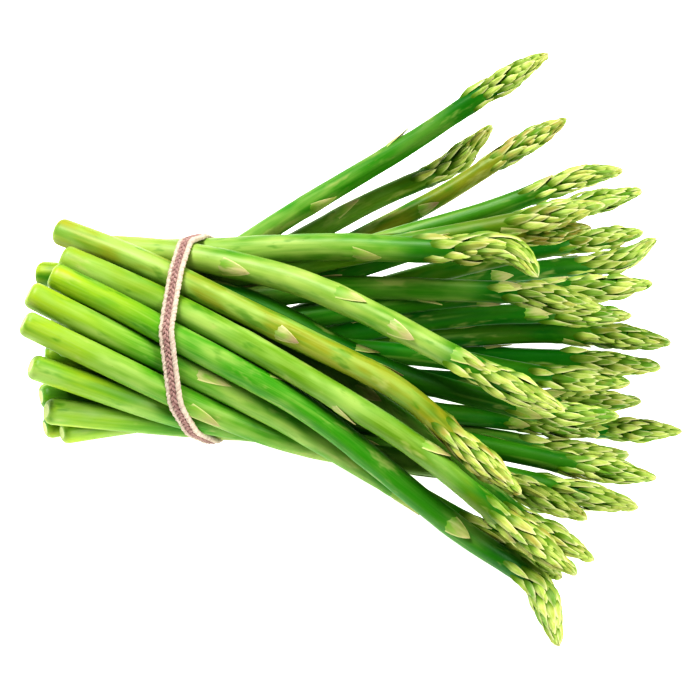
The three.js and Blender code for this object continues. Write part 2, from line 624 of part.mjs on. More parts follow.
function buildTie(lines) {
  const offsets = [-0.5, -0.25, 0, 0.25, 0.5];
  const sections = offsets.map((share) => sectionsAt(lines, share * TIE_WIDTH));
  const angleOf = (n) => (TAU * n) / TIE_STEPS;
  const half = Math.PI / TIE_STEPS;
  // inner outline on each offset: corners where neighbouring support lines meet
  const outline = (list) => {
    const reach = Array.from({ length: TIE_STEPS }, (_, n) => reachOf(list, angleOf(n)));
    return reach.map((here, n) => {
      const next = reach[(n + 1) % TIE_STEPS];
      const angle = angleOf(n) + half;
      const along = (next - here) / (2 * Math.sin(half));
      const out = (here + next) / (2 * Math.cos(half));
      return [
        out * Math.cos(angle) - along * Math.sin(angle),
        out * Math.sin(angle) + along * Math.cos(angle),
        angle,
      ];
    });
  };
  const near = outline([...sections[0], ...sections[1], ...sections[2]]);
  const far = outline([...sections[2], ...sections[3], ...sections[4]]);
  const middle = outline(sections.flat());
  const tilt = Math.hypot(1, TIE_LEAN_V, TIE_LEAN_W);
  const corners = [];
  const faces = [];
  const add = ([v, w, angle], share, out) => {
    const vOut = v + out * Math.cos(angle);
    const wOut = w + out * Math.sin(angle);
    const u = TIE_AXIS_U + share * TIE_WIDTH * tilt + TIE_LEAN_V * vOut + TIE_LEAN_W * wOut;
    return corners.push(fromBoard(u, vOut, wOut)) - 1;
  };
  const rings = [];
  for (let n = 0; n < TIE_STEPS; n += 1) {
    const plait = PLAIT_RELIEF * (n % 2);
    rings.push([
      add(near[n], -0.5, 0),
      add(near[n], -0.5, TIE_THICKNESS * TIE_EDGE_SCALE),
      add(middle[n], -0.25, TIE_THICKNESS),
      add(middle[n], 0, TIE_THICKNESS - PLAIT_RELIEF + plait),
      add(middle[n], 0.25, TIE_THICKNESS),
      add(far[n], 0.5, TIE_THICKNESS * TIE_EDGE_SCALE),
      add(far[n], 0.5, 0),
    ]);
  }
  for (let n = 0; n < TIE_STEPS; n += 1) {
    const here = rings[n];
    const next = rings[(n + 1) % TIE_STEPS];
    for (let k = 0; k < here.length; k += 1) {
      const m = (k + 1) % here.length;
      faces.push([here[k], next[k], next[m]], [here[k], next[m], here[m]]);
    }
  }
  return solidOf({ corners, faces }).add(buildKnot(sections.flat()));
}

/** Corners and faces of a three.js geometry, with shared corners joined. */
function surfaceOf(geometry) {
  geometry.deleteAttribute("normal");
  geometry.deleteAttribute("uv");
  const merged = mergeVertices(geometry);
  const position = merged.attributes.position;
  const index = Array.from(merged.index.array);
  return {
    corners: Array.from({ length: position.count }, (_, n) =>
      new THREE.Vector3().fromBufferAttribute(position, n),
    ),
    faces: Array.from({ length: index.length / 3 }, (_, n) => index.slice(3 * n, 3 * n + 3)),
  };
}

/** The flat knot at the back of the tie, with its two short tails standing off. */
function buildKnot(sections) {
  // the band's distance on the knot's own ray: the nearest of the support lines round it
  const quarter = TIE_STEPS / 4;
  const distances = [];
  for (let n = 1 - quarter; n < quarter; n += 1) {
    const turn = (TAU * n) / TIE_STEPS;
    distances.push(reachOf(sections, KNOT_ANGLE + turn) / Math.cos(turn));
  }
  const band = Math.min(...distances);
  const distance = band + TIE_THICKNESS + KNOT_HALF.out - KNOT_SINK;
  const v = distance * Math.cos(KNOT_ANGLE);
  const w = distance * Math.sin(KNOT_ANGLE);
  const middle = fromBoard(TIE_AXIS_U + TIE_LEAN_V * v + TIE_LEAN_W * w, v, w);
  const out = fromBoard(0, Math.cos(KNOT_ANGLE), Math.sin(KNOT_ANGLE)).sub(fromBoard(0, 0, 0));
  const planeNormal = fromBoard(1, -TIE_LEAN_V, -TIE_LEAN_W).sub(fromBoard(0, 0, 0)).normalize();
  const across = planeNormal.addScaledVector(out, -planeNormal.dot(out)).normalize();
  const round = new THREE.Vector3().crossVectors(out, across);
  const stand = new THREE.Matrix4().makeBasis(across, round, out).setPosition(middle);

  const lump = new THREE.IcosahedronGeometry(1, 1);
  lump.scale(KNOT_HALF.across, KNOT_HALF.round, KNOT_HALF.out);
  let knot = solidOf(surfaceOf(lump.applyMatrix4(stand)));
  for (const side of [-1, 1]) {
    const tail = new THREE.BoxGeometry(TAIL.length, TAIL.width, TAIL.thickness);
    tail.translate(TAIL.length / 2, 0, 0);
    const position = tail.attributes.position;
    for (let n = 0; n < position.count; n += 1) {
      const scale = position.getX(n) > 1 ? TAIL.endScale : 1;
      position.setXYZ(n, position.getX(n), position.getY(n) * scale, position.getZ(n) * scale);
    }
    tail.rotateY(-TAIL.flare);
    tail.rotateZ(side > 0 ? TAIL.spread : Math.PI - TAIL.spread * 2);
    knot = knot.add(solidOf(surfaceOf(tail.applyMatrix4(stand))));
  }
  return knot;
}

// ---- the bundle ----

const lines = chains.map((chain) => ({ chain, line: middleLine(chain) }));
const group = new THREE.Group();
group.name = "asparagus_bundle";

const spearSolids = lines.map(({ chain, line }) => {
  const { spear } = chain;
  let solid = solidOf(stemAndHead(spear, line));
  for (const [tipAt, angle] of bractPlaces(spear, line)) {
    solid = solid.add(solidOf(bract(spear, line, tipAt, angle)));
  }
  return solid;
});
const tieSolid = buildTie(lines);

// press the bundle flat where it lies on the ground, and put its box's bottom centre at the origin
const boxes = [...spearSolids, tieSolid].map((solid) => solid.boundingBox());
const middleOf = (k) =>
  (Math.min(...boxes.map((box) => box.min[k])) + Math.max(...boxes.map((box) => box.max[k]))) / 2;
const toOrigin = [-middleOf(0), -middleOf(1), 0];
const underground = boxSolid(
  new THREE.Vector3(-GROUND.half, -GROUND.half, -GROUND.deep),
  new THREE.Vector3(GROUND.half, GROUND.half, 0),
);

spearSolids.forEach((solid, n) => {
  const { spear } = lines[n].chain;
  const resting = solid.translate(toOrigin).subtract(underground);
  group.add(meshOf(spear.name, resting, GREENS[spear.green], SKIN_ROUGHNESS));
});
const restingTie = tieSolid.translate(toOrigin).subtract(underground);
group.add(meshOf("tie", restingTie, TWINE_COLOUR, TWINE_ROUGHNESS));

export default group;
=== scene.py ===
"""A bundle of green asparagus tied with a flat braid of natural twine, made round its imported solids."""

import math

import bpy
import numpy as np
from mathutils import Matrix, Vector


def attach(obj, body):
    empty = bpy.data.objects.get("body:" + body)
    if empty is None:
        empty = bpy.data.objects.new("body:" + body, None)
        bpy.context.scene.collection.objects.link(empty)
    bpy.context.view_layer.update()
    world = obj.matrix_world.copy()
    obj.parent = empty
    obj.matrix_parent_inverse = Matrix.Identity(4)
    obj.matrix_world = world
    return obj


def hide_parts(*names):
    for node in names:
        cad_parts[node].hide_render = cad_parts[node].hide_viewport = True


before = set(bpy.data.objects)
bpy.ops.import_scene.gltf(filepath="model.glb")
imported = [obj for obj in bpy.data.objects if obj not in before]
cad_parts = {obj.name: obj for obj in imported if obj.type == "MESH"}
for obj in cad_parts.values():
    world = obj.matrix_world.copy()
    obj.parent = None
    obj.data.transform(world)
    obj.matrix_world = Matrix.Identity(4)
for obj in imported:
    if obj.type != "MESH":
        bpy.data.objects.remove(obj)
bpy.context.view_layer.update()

# Everything is worked out in millimetres and put into the meshes in metres.
MM = 0.001

# ---- the lie of the sheaf: the same numbers as in the part's source ----
RISE = math.radians(50)  # the sheaf's face is turned up this far
SHEAF_MIDDLE = np.array([-64.467, 26.578, 38.5])  # of the sheaf's axis beside the tie
ALONG = np.array([1.0, 0.0, 0.0])  # u
ACROSS = np.array([0.0, math.sin(RISE), math.cos(RISE)])  # v
OUTWARD = np.array([0.0, -math.cos(RISE), math.sin(RISE)])  # w

FLOOR_ROOM = 0.03  # nothing goes lower

FULL_TURN = 2 * math.pi

# ---- how a spear's middle line is read from its solid ----
FIRST_CUTS = 90  # upright cuts that start the line
FROM_BUTT, FROM_TIP = 5.0, 4.0  # where those begin and end
LINE_STEP = 2.0  # between the cuts square to the line
LINE_END = 55.0  # this much before the tip is found step by step
MOST_STEPS = 60
LEAST_CUT = 3.0  # square millimetres
EVERYWHERE, NEAR_LINE, NEAR_STEP = 1e9, 24.0, 13.0  # how far round a place its cut may reach
NEAR_END = 20.0  # corners this near belong to an end
STIFF_LINE, SOFT_LINE = 320, 14  # the stem is eased more than the curled head
SOFT_UP_TO, STIFF_FROM = 25.0, 45.0  # distances from the tip
FINE_STEP, MARGIN_STEPS = 1.25, 12
MIDDLE_STRETCH = (0.15, 0.5)  # the shares of the length where the thickness is read
MEAN_TAPER = 1.02
SOLID_SIDES = 10

# ---- the stem ----
BUTT_SCALE, NECK_SCALE, TAPER_POWER = 1.04, 0.86, 1.5
BUTT_ROUNDING = 1.1
SKIN = 0.34  # the dressed stem stands this far over the solid one
STEM_SIDES = 36
STEM_STEP = 2.4
END_ROUNDING = 2.8  # the cut end's edge has shrunk and rounded
RIM_ROWS, RIM_SHARE = 5, 0.52  # the rim starts at this share of the stem's radius
CUT_SCALES = np.array([0.15, 0.30, 0.40, 0.47])  # rings of the cut face, as shares of the stem's radius
CUT_DISH, CUT_CENTRE = 0.10, 0.12  # the face's depth, and where its middle is closed
RIDGES = [(5, 0.010, 0.5), (8, -0.014, 0.6), (13, 0.006, 0.35), (2, 0.020, 0.7), (3, -0.03, 0.4)]
RIDGE_HEIGHT = 0.010  # a share of the radius
SWELL_HEIGHT, SWELL_LENGTH = 0.012, 17.0
JOINT_SWELL = 0.055  # thicker by this share where a bract sits
JOINT_START, JOINT_BEFORE, JOINT_AFTER = 1.0, 2.2, 9.0  # its reach before and after the bract's foot
JOINT_ROUND = 0.35  # this share goes all the way round, the rest leans to the bract's side
# deeper green toward the neck, and painted shade on the head's core in the gaps between the scales: how
# much, from how many head lengths before the neck, and over how many millimetres
NECK_GREEN_AND_GAP_SHADE, GAP_SHADE_FROM, GAP_SHADE_LENGTH = 0.4, 0.6, 24.0
ROOM_BETWEEN = 400.0  # between the spears, where patterns are laid out straight

# ---- the head ----
HEAD_LENGTHS = 3.9  # head length over thickness
HEAD_BULGE, BULGE_END, BULGE_POWER = 0.30, 1.15, 1.5
HEAD_TIP_SHARE = 0.62  # share of the head that closes to the tip
BLUNT = {10: 0.36}  # the same, where it isn't the usual one
TIP_FULLNESS, TIP_POWER = 1.75, 0.66
CORE_SHARE, CORE_ROWS, CORE_START = 0.79, 26, 6.0  # the core under the scales
CORE_END, CORE_TIP = 0.9, 0.5  # before the tip
GOLDEN_TURN = math.radians(137.5)
SEED = 700

# ---- the bracts: lengths, half widths and bellies are in stem thicknesses ----
BRACTS_OUTSIDE, BRACTS_INSIDE = 4, 3
SPEARS_OUTSIDE = 20
BRACT_TURN = 0.6  # radians
FIRST_BRACT, BRACT_ROOM, BRACT_ROOM_GROWTH = 0.90, 28, 4  # in head lengths, then millimetres
BRACT_SHIFT = (-3, 3)  # millimetres
BRACT_LENGTHS, BRACT_WIDTHS, BRACT_BELLIES = (1.15, 1.6), (0.40, 0.50), (0.02, 0.06)
BRACT_OPENED, BRACT_WARMER = (0.02, 0.17), (-0.1, 0.5)
BRACT_OFF, BRACT_SLOPE, BRACT_CURL = 0.12, 0.23, 2.5  # how it stands off, rises, and curls at the tip
# the foremost spear's bracts: distance from the tip, and turn from the outward side in radians
BRACTS_SEEN = {1: ((36, -0.5), (67, 0.2), (93, -0.6), (143, 0.3))}
BRACT_KEEL, BRACT_WALL = 2, 0.42
BRACT_FOOT_SINK, BRACT_FOOT_SHARE = 0.38, 0.35  # the foot runs into the stem over this share

# ---- the scales and buds: in stem thicknesses too ----
HEAD_SCALES, FIRST_SCALE = 54, 3
BUDS = 14
SCALE_KEEL, SCALE_WALL, SCALE_SINK = 1.4, 0.35, 0.40
SCALES_FROM, SCALES_OVER, SCALES_CROWD = -0.32, 1.24, 0.66  # in head lengths from the neck
SCALE_GROUND, SCALE_UNDER, PAST_TIP = 0.90, 0.1, 0.3
# a measure at the neck, how much less it is at the tip, and how the scales differ
SCALE_LENGTHS, SCALE_WIDTHS = (1.50, 0.60, (0.8, 1.2)), (0.24, 0.085, (0.75, 1.2))
SCALE_BELLIES = (0.15, 0.06, (0.6, 1.4))
STAND_OFF, CLOSER = 0.8, {10: 0.6}  # millimetres, and where it isn't the usual one
STAND_SPREAD, STAND_LESS = (0.2, 1.75), 0.35
SCALE_TURN = (-0.22, 0.22)  # radians
# the scales take a share of their stem's depth of green, and with it the painted shade of the inner spears
SCALE_DEPTH, SCALE_DEPTH_BY_STEM, SCALE_DEEPER, SCALE_WARMER = 0.12, 0.4, (-0.30, 0.42), (-0.25, 0.45)
BUD_AT, BUD_TURN, BUD_STAND = (0.50, 0.75), (-0.5, 0.5), 0.5
BUD_LENGTHS, BUD_WIDTHS, BUD_BELLIES = (0.5, 0.8), (0.13, 0.19), (0.07, 0.12)

# turn of the scales in degrees, depth of the green (each spear's own tone, made deeper on the spears inside
# the sheaf as painted shade), and olive or brown tinge
LOOKS = {
    1: (10, 0.12, 0.20), 2: (70, 0.22, 0.95), 3: (130, 0.30, 0.40), 4: (190, 0.38, 0.05),
    5: (250, 0.25, 0.10), 6: (310, 0.25, 0.15), 7: (50, 0.32, 0.10), 8: (110, 0.32, 0.10),
    9: (170, 0.28, 0.05), 10: (230, 0.20, 0.15), 11: (290, 0.32, 0.10), 12: (350, 0.72, 0.10),
    13: (30, 0.35, 0.30), 14: (90, 0.38, 0.05), 15: (150, 0.30, 0.40), 16: (210, 0.50, 0.90),
    17: (270, 0.35, 0.15), 18: (330, 0.55, 0.05), 19: (20, 0.40, 0.45), 20: (80, 0.60, 0.90),
    21: (140, 0.60, 0.30), 22: (200, 0.50, 0.10), 23: (260, 0.55, 0.10), 24: (320, 0.70, 0.10),
    25: (40, 0.72, 0.20), 26: (100, 0.70, 0.05), 27: (160, 0.65, 0.10), 28: (220, 0.75, 0.20),
    29: (280, 0.65, 0.10), 30: (340, 0.50, 0.15), 31: (60, 0.50, 0.10),
}
PALE_SPEARS = (1, 2, 3, 4, 5, 6, 10, 17, 19, 23)
DEEP_SPEARS = (16, 20, 25, 26)


def unit(vectors):
    """Each vector over its own length."""
    return vectors / np.linalg.norm(vectors, axis=-1, keepdims=True)


def smooth_step(x):
    """3x^2 - 2x^3 of x held between 0 and 1."""
    x = np.clip(x, 0, 1)
    return x * x * (3 - 2 * x)


def solid_corners(node):
    """The corners of a CAD node's triangles, (triangles, 3, 3), in millimetres."""
    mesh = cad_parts[node].data
    mesh.calc_loop_triangles()
    places = np.empty(len(mesh.vertices) * 3)
    mesh.vertices.foreach_get("co", places)
    index = np.empty(len(mesh.loop_triangles) * 3, np.int64)
    mesh.loop_triangles.foreach_get("vertices", index)
    return places.reshape(-1, 3)[index].reshape(-1, 3, 3) / MM


def cuts(corners, places, normals, reach):
    """Centre and area of a closed solid's cut by the plane at each place.

    Each triangle that the plane crosses gives one edge of the cut, and each edge a fan from the place.
    Area = sum of the signed fans; centre = mean of the fans' centres, weighted by their signed areas.
    """
    off = np.einsum("sk,tck->stc", normals, corners) - np.einsum("sk,sk->s", normals, places)[:, None, None]
    following = np.roll(off, -1, axis=2)
    middles = corners.mean(1)
    near = np.linalg.norm(middles[None] - places[:, None], axis=2) < reach
    gap = np.where(off == following, 1, off - following)
    edges = np.roll(corners, -1, axis=1) - corners

    def crossing(which):
        points = corners[None] + (off / gap * which)[..., None] * edges[None]
        return (points * which[..., None]).sum(2) - places[:, None]

    rising = (off < 0) & (following >= 0) & near[..., None]
    falling = (off >= 0) & (following < 0) & near[..., None]
    crossed = rising.any(2)
    start = crossing(rising) * crossed[..., None]
    end = crossing(falling) * crossed[..., None]
    fans = np.einsum("stk,sk->st", np.cross(start, end), normals) / 2
    area = fans.sum(1)
    centre = places + (fans[..., None] * (start + end) / 3).sum(1) / area[:, None]
    return centre, np.abs(area)


def eased(points, stiffness):
    """Points moved as little as possible for a line whose second differences are small: (1 + D'SD) x = p."""
    count = len(points)
    second = np.diff(np.eye(count), 2, axis=0)
    return np.linalg.solve(np.eye(count) + second.T @ (stiffness[1:-1, None] * second), points)


def distances_along(points):
    """How far along a line each of its points is."""
    return np.concatenate([[0], np.cumsum(np.linalg.norm(np.diff(points, axis=0), axis=1))])


def by_length(points, step):
    """The same line with its points at even distances."""
    lengths = distances_along(points)
    even = np.linspace(0, lengths[-1], int(round(lengths[-1] / step)) + 1)
    return np.stack([np.interp(even, lengths, points[:, k]) for k in range(3)], axis=1), even


class Spear:
    """The middle line of one spear, read from its solid, with a frame that turns round it."""

    def __init__(self, number):
        self.number = number
        self.node = f"spear_{number:02d}"
        corners = solid_corners(self.node)
        low, high = corners.reshape(-1, 3).min(0), corners.reshape(-1, 3).max(0)
        places = np.zeros((FIRST_CUTS, 3))
        places[:, 0] = np.linspace(low[0] + FROM_BUTT, high[0] - FROM_TIP, FIRST_CUTS)
        # first upright cuts, then twice cuts square to the line found so far, then on to the tip in steps
        places[:, 1:] = (low[1:] + high[1:]) / 2
        centres, areas = cuts(corners, places, np.tile(ALONG, (FIRST_CUTS, 1)), EVERYWHERE)
        centres, lengths = by_length(centres, LINE_STEP)
        centres = centres[lengths < lengths[-1] - LINE_END]
        for _ in range(2):
            centres, lengths = by_length(centres, LINE_STEP)
            tangents = unit(np.gradient(centres, axis=0))
            centres, areas = cuts(corners, centres, tangents, NEAR_LINE)
        for _ in range(MOST_STEPS):
            ahead = unit(centres[-1] - centres[-3])
            centre, area = cuts(corners, (centres[-1] + LINE_STEP * ahead)[None], ahead[None], NEAR_STEP)
            if area[0] < LEAST_CUT:
                break
            centres, areas = np.vstack([centres, centre]), np.append(areas, area)
        lengths = distances_along(centres)
        from_tip = lengths[-1] - lengths
        stiffened = smooth_step((from_tip - SOFT_UP_TO) / (STIFF_FROM - SOFT_UP_TO))
        centres = eased(centres, SOFT_LINE + (STIFF_LINE - SOFT_LINE) * stiffened)
        # straight on to the cut end and to the tip
        first, last = unit(centres[0] - centres[2]), unit(centres[-1] - centres[-3])
        flat = corners.reshape(-1, 3)
        near_butt = flat[np.linalg.norm(flat - centres[0], axis=1) < NEAR_END]
        near_tip = flat[np.linalg.norm(flat - centres[-1], axis=1) < NEAR_END]
        butt = centres[0] + first * ((near_butt - centres[0]) @ first).max()
        tip = centres[-1] + last * (((near_tip - centres[-1]) @ last).max())
        line, along = by_length(np.vstack([butt, centres, tip]), FINE_STEP)
        self.whole = along[-1]
        # a margin past both ends
        margin = np.arange(1, MARGIN_STEPS + 1) * FINE_STEP
        line = np.vstack([line[0] + first * margin[::-1, None], line, line[-1] + last * margin[:, None]])
        self.s = np.concatenate([-margin[::-1], along, self.whole + margin])
        self.middle = line
        tangent = unit(np.gradient(line, axis=0))
        self.tangent = tangent
        self.face = unit(OUTWARD - (tangent @ OUTWARD)[:, None] * tangent)
        self.side = np.cross(tangent, self.face)
        # thickness from the cuts through the stem
        polygon = SOLID_SIDES / 2 * math.sin(FULL_TURN / SOLID_SIDES)
        shares = lengths / lengths[-1]
        stem = (shares > MIDDLE_STRETCH[0]) & (shares < MIDDLE_STRETCH[1])
        across = 2 * np.sqrt(areas[stem] / polygon)
        thickness = np.median(across) / MEAN_TAPER
        for _ in range(2):
            neck = self.whole - HEAD_LENGTHS * thickness
            taper = BUTT_SCALE + (NECK_SCALE - BUTT_SCALE) * np.clip(lengths / neck, 0, 1) ** TAPER_POWER
            thickness = np.median(across / taper[stem])
        self.thickness = thickness
        self.head = HEAD_LENGTHS * thickness
        self.neck = self.whole - self.head
        # the depth of green is the spear's own tone, with painted shade added on the spears inside the sheaf
        turn, self.depth, self.warmth = LOOKS[number]
        self.turn = math.radians(turn)
        self.opened = CLOSER.get(number, STAND_OFF)

    def at(self, s, what):
        """The named vector of the line at distance s along it."""
        values = getattr(self, what)
        return np.stack([np.interp(s, self.s, values[:, k]) for k in range(3)], axis=-1)

    def place(self, s, angle, radius):
        """Middle line at s + radius times (face cos angle + side sin angle)."""
        s, angle, radius = np.broadcast_arrays(s, angle, radius)
        cosine, sine = np.cos(angle)[..., None], np.sin(angle)[..., None]
        outward = self.at(s, "face") * cosine + self.at(s, "side") * sine
        return self.at(s, "middle") + radius[..., None] * unit(outward)

    def stem_radius(self, s):
        """Half thickness: 1.04 of the nominal at the butt, 0.86 at the neck, by the power 1.5."""
        share = np.clip((s - BUTT_ROUNDING) / (self.neck - BUTT_ROUNDING), 0, 1)
        return self.thickness / 2 * (BUTT_SCALE + (NECK_SCALE - BUTT_SCALE) * share ** TAPER_POWER)

    def head_radius(self, s):
        """Neck radius, swollen by a sine bump, and closed over the last part.

        Radius = neck radius (1 + bulge sin(pi 1.15 share)^1.5) (1 - (1 - t)^1.75)^0.66, where t goes from 0
        at the tip to 1 where the head starts to close.
        """
        share = (s - self.neck) / self.head
        swell = 1 + HEAD_BULGE * np.sin(np.pi * np.clip(share * BULGE_END, 0, 1)) ** BULGE_POWER
        to_tip = np.clip((1 - share) / BLUNT.get(self.number, HEAD_TIP_SHARE), 0, 1)
        closing = np.clip(1 - (1 - to_tip) ** TIP_FULLNESS, 0, 1) ** TIP_POWER
        return self.stem_radius(self.neck) * swell * closing

    def straight(self, s, angle, radius):
        """Where a place would be if the spear were straight, with room between the spears."""
        s, angle, radius = np.broadcast_arrays(s, angle, radius)
        along = s + ROOM_BETWEEN * self.number
        return np.stack([along, radius * np.cos(angle), radius * np.sin(angle)], axis=-1)


LEAF_CREASE, TWINE_CREASE = 50, 80  # degrees


class Surface:
    """Closed lofts gathered for one mesh, with the two attributes that the finishes read."""

    def __init__(self):
        self.points, self.quads, self.triangles = [], [], []
        self.straight, self.leaf, self.quad_finish, self.triangle_finish = [], [], [], []
        self.count = 0

    def lofts(self, rows, foot, tip, straight, leaf, finish):
        """Adds n closed lofts: rows is (n, along, round, 3), and foot and tip, (n, 3), close the ends."""
        n, along, round_, _ = rows.shape
        size = along * round_ + 2
        start = self.count + np.arange(n)[:, None, None] * size
        here = start + np.arange(along)[None, :, None] * round_ + np.arange(round_)[None, None, :]
        beside = np.roll(here, -1, axis=2)
        quads = np.stack([here[:, :-1], beside[:, :-1], beside[:, 1:], here[:, 1:]], axis=-1).reshape(-1, 4)
        foot_at = np.broadcast_to(start[:, 0] + along * round_, (n, round_))
        tip_at = foot_at + 1
        triangles = np.concatenate([
            np.stack([foot_at, beside[:, 0], here[:, 0]], axis=-1).reshape(-1, 3),
            np.stack([tip_at, here[:, -1], beside[:, -1]], axis=-1).reshape(-1, 3),
        ])

        def gathered(grid, first, last):
            """Each loft's grid, then its foot and its tip, as one list of rows."""
            flat = grid.reshape(n, -1, grid.shape[-1])
            return np.concatenate([flat, first[:, None], last[:, None]], axis=1).reshape(-1, grid.shape[-1])

        self.points.append(gathered(rows, foot, tip))
        self.straight.append(gathered(straight, straight[:, 0].mean(1), straight[:, -1].mean(1)))
        self.leaf.append(gathered(leaf, leaf[:, 0].mean(1), leaf[:, -1].mean(1)))
        self.quads.append(quads)
        self.triangles.append(triangles)
        self.quad_finish.append(np.full(len(quads), finish))
        self.triangle_finish.append(np.full(len(triangles), finish))
        self.count += n * size

    def hoop(self, rows, straight, finish):
        """Adds one tube whose ends meet."""
        along, round_, _ = rows.shape
        here = self.count + np.arange(along)[:, None] * round_ + np.arange(round_)[None]
        ahead, beside = np.roll(here, -1, axis=0), np.roll(here, -1, axis=1)
        quads = np.stack([here, beside, np.roll(ahead, -1, axis=1), ahead], axis=-1).reshape(-1, 4)
        self.points.append(rows.reshape(-1, 3))
        self.straight.append(straight.reshape(-1, 3))
        self.leaf.append(np.zeros((along * round_, 4)))
        self.quads.append(quads)
        self.triangles.append(np.zeros((0, 3), np.int64))
        self.quad_finish.append(np.full(len(quads), finish))
        self.triangle_finish.append(np.zeros(0, np.int64))
        self.count += along * round_

    def mesh(self, name, finishes, crease=LEAF_CREASE):
        """One object of all the lofts, smooth but for edges sharper than the crease."""
        points = np.concatenate(self.points) * MM
        points[:, 2] = np.maximum(points[:, 2], FLOOR_ROOM * MM)
        quads, triangles = np.concatenate(self.quads), np.concatenate(self.triangles)
        corners = np.concatenate([quads.ravel(), triangles.ravel()])
        mesh = bpy.data.meshes.new(name)
        mesh.vertices.add(len(points))
        mesh.vertices.foreach_set("co", points.ravel())
        mesh.loops.add(len(corners))
        mesh.loops.foreach_set("vertex_index", corners)
        mesh.polygons.add(len(quads) + len(triangles))
        starts = np.concatenate([np.arange(len(quads)) * 4, len(quads) * 4 + np.arange(len(triangles)) * 3])
        mesh.polygons.foreach_set("loop_start", starts)
        finish_of_each = np.concatenate(self.quad_finish + self.triangle_finish)
        mesh.polygons.foreach_set("material_index", finish_of_each)
        mesh.update(calc_edges=True)
        for attribute, kind, values, field in (
            ("straight", "FLOAT_VECTOR", self.straight, "vector"),
            ("leaf", "FLOAT_COLOR", self.leaf, "color"),
        ):
            layer = mesh.attributes.new(attribute, kind, "POINT")
            layer.data.foreach_set(field, np.concatenate(values).ravel())
        mesh.polygons.foreach_set("use_smooth", np.ones(len(mesh.polygons), bool))
        mesh.set_sharp_from_angle(angle=math.radians(crease))
        for finish in finishes:
            mesh.materials.append(finish)
        mesh.validate()
        piece = bpy.data.objects.new(name, mesh)
        bpy.context.scene.collection.objects.link(piece)
        return piece


# ---- finishes ----

class Finish:
    """A material under construction: nodes are added by kind, with sockets or plain values as inputs."""

    def __init__(self, name):
        self.material = bpy.data.materials.new(name)
        self.material.use_nodes = True
        self.tree = self.material.node_tree
        self.tree.nodes.clear()

    def node(self, kind, inputs=None, **settings):
        made = self.tree.nodes.new(kind)
        for key, value in settings.items():
            setattr(made, key, value)
        for key, value in (inputs or {}).items():
            socket = made.inputs[key]
            if isinstance(value, bpy.types.NodeSocket):
                self.tree.links.new(value, socket)
            else:
                socket.default_value = value
        return made

    def attribute(self, name):
        return self.node("ShaderNodeAttribute", attribute_name=name)

    def math(self, operation, a, b):
        return self.node("ShaderNodeMath", {0: a, 1: b}, operation=operation).outputs[0]

    def times(self, a, b):
        return self.math("MULTIPLY", a, b)

    def ramp(self, value, low, high):
        """0 at low, 1 at high, smooth between. Low may be the greater of the two."""
        made = self.node("ShaderNodeMapRange", {"Value": value, "From Min": low, "From Max": high})
        made.interpolation_type = "SMOOTHSTEP"
        return made.outputs[0]

    def mix(self, share, first, second):
        """The first colour at share 0, the second at share 1."""
        first, second = (
            colour if isinstance(colour, bpy.types.NodeSocket) else (*colour, 1)
            for colour in (first, second)
        )
        inputs = {"Factor": share, 6: first, 7: second}  # 6 and 7 are the two colours' sockets
        return self.node("ShaderNodeMix", inputs, data_type="RGBA").outputs[2]

    def stretched(self, vector, scale):
        """The vector with each of its parts times a number of its own."""
        return self.node("ShaderNodeVectorMath", {0: vector, 1: scale}, operation="MULTIPLY").outputs[0]

    def noise(self, vector, scale, detail=3.0, roughness=0.55):
        inputs = {"Vector": vector, "Scale": scale, "Detail": detail, "Roughness": roughness}
        return self.node("ShaderNodeTexNoise", inputs).outputs["Fac"]

    def bump(self, height, distance):
        inputs = {"Height": height, "Distance": distance, "Strength": 1.0}
        return self.node("ShaderNodeBump", inputs).outputs[0]

    def pattern(self, stretch, detail=2.0, roughness=0.55):
        """Noise that follows the piece; stretch is its turns in a millimetre along and across."""
        straight = self.attribute("straight").outputs["Vector"]
        return self.noise(self.stretched(straight, stretch), 1.0, detail, roughness)

    def layered(self, colour, layers):
        """The colour with each layer laid over it: where it shows, how strongly, and its colour."""
        for where, strength, shade in layers:
            colour = self.mix(self.times(where, strength), colour, shade)
        return colour

    def principled(self, inputs):
        shader = self.node("ShaderNodeBsdfPrincipled", inputs)
        output = self.node("ShaderNodeOutputMaterial")
        self.tree.links.new(shader.outputs[0], output.inputs[0])
        return self.material


# Colours. Each finish mixes its own.
PALE_GREEN = (0.31, 0.44, 0.100)
LEAF_GREEN = (0.030, 0.25, 0.003)
DEEP_GREEN = (0.003, 0.125, 0.0003)
YELLOW_GREEN = (0.39, 0.50, 0.025)
OLIVE = (0.30, 0.27, 0.02)
PATCH_PALE, PATCH_GREEN = (0.42, 0.44, 0.15), (0.045, 0.19, 0.003)
STREAK_GREEN, STREAK_PALE = (0.035, 0.20, 0.002), (0.40, 0.54, 0.13)
SPECK = (0.16, 0.20, 0.02)
SCALE_LIGHT, SCALE_PALE, SCALE_GREEN = (0.34, 0.45, 0.080), (0.52, 0.57, 0.19), (0.065, 0.21, 0.006)
# the dark foot colour is painted shade where the scales above cover a scale's foot
SCALE_BROWN, SCALE_FOOT_SHADE, SCALE_RIM = (0.34, 0.23, 0.06), (0.075, 0.165, 0.003), (0.68, 0.66, 0.36)
BRACT_FOOT, BRACT_BLADE, BRACT_VEIN = (0.15, 0.33, 0.02), (0.40, 0.46, 0.12), (0.22, 0.24, 0.05)
CREAM, BEIGE, MAUVE = (0.72, 0.66, 0.32), (0.60, 0.50, 0.28), (0.28, 0.17, 0.11)
FLESH_GREEN, FLESH_PALE, FLESH_FIBRE = (0.34, 0.46, 0.09), (0.50, 0.55, 0.18), (0.22, 0.36, 0.06)
TWINE_CREAM, TWINE_TAN = (0.70, 0.60, 0.49), (0.44, 0.32, 0.24)
TWINE_MAUVE, TWINE_PLUM = (0.48, 0.31, 0.27), (0.22, 0.11, 0.10)

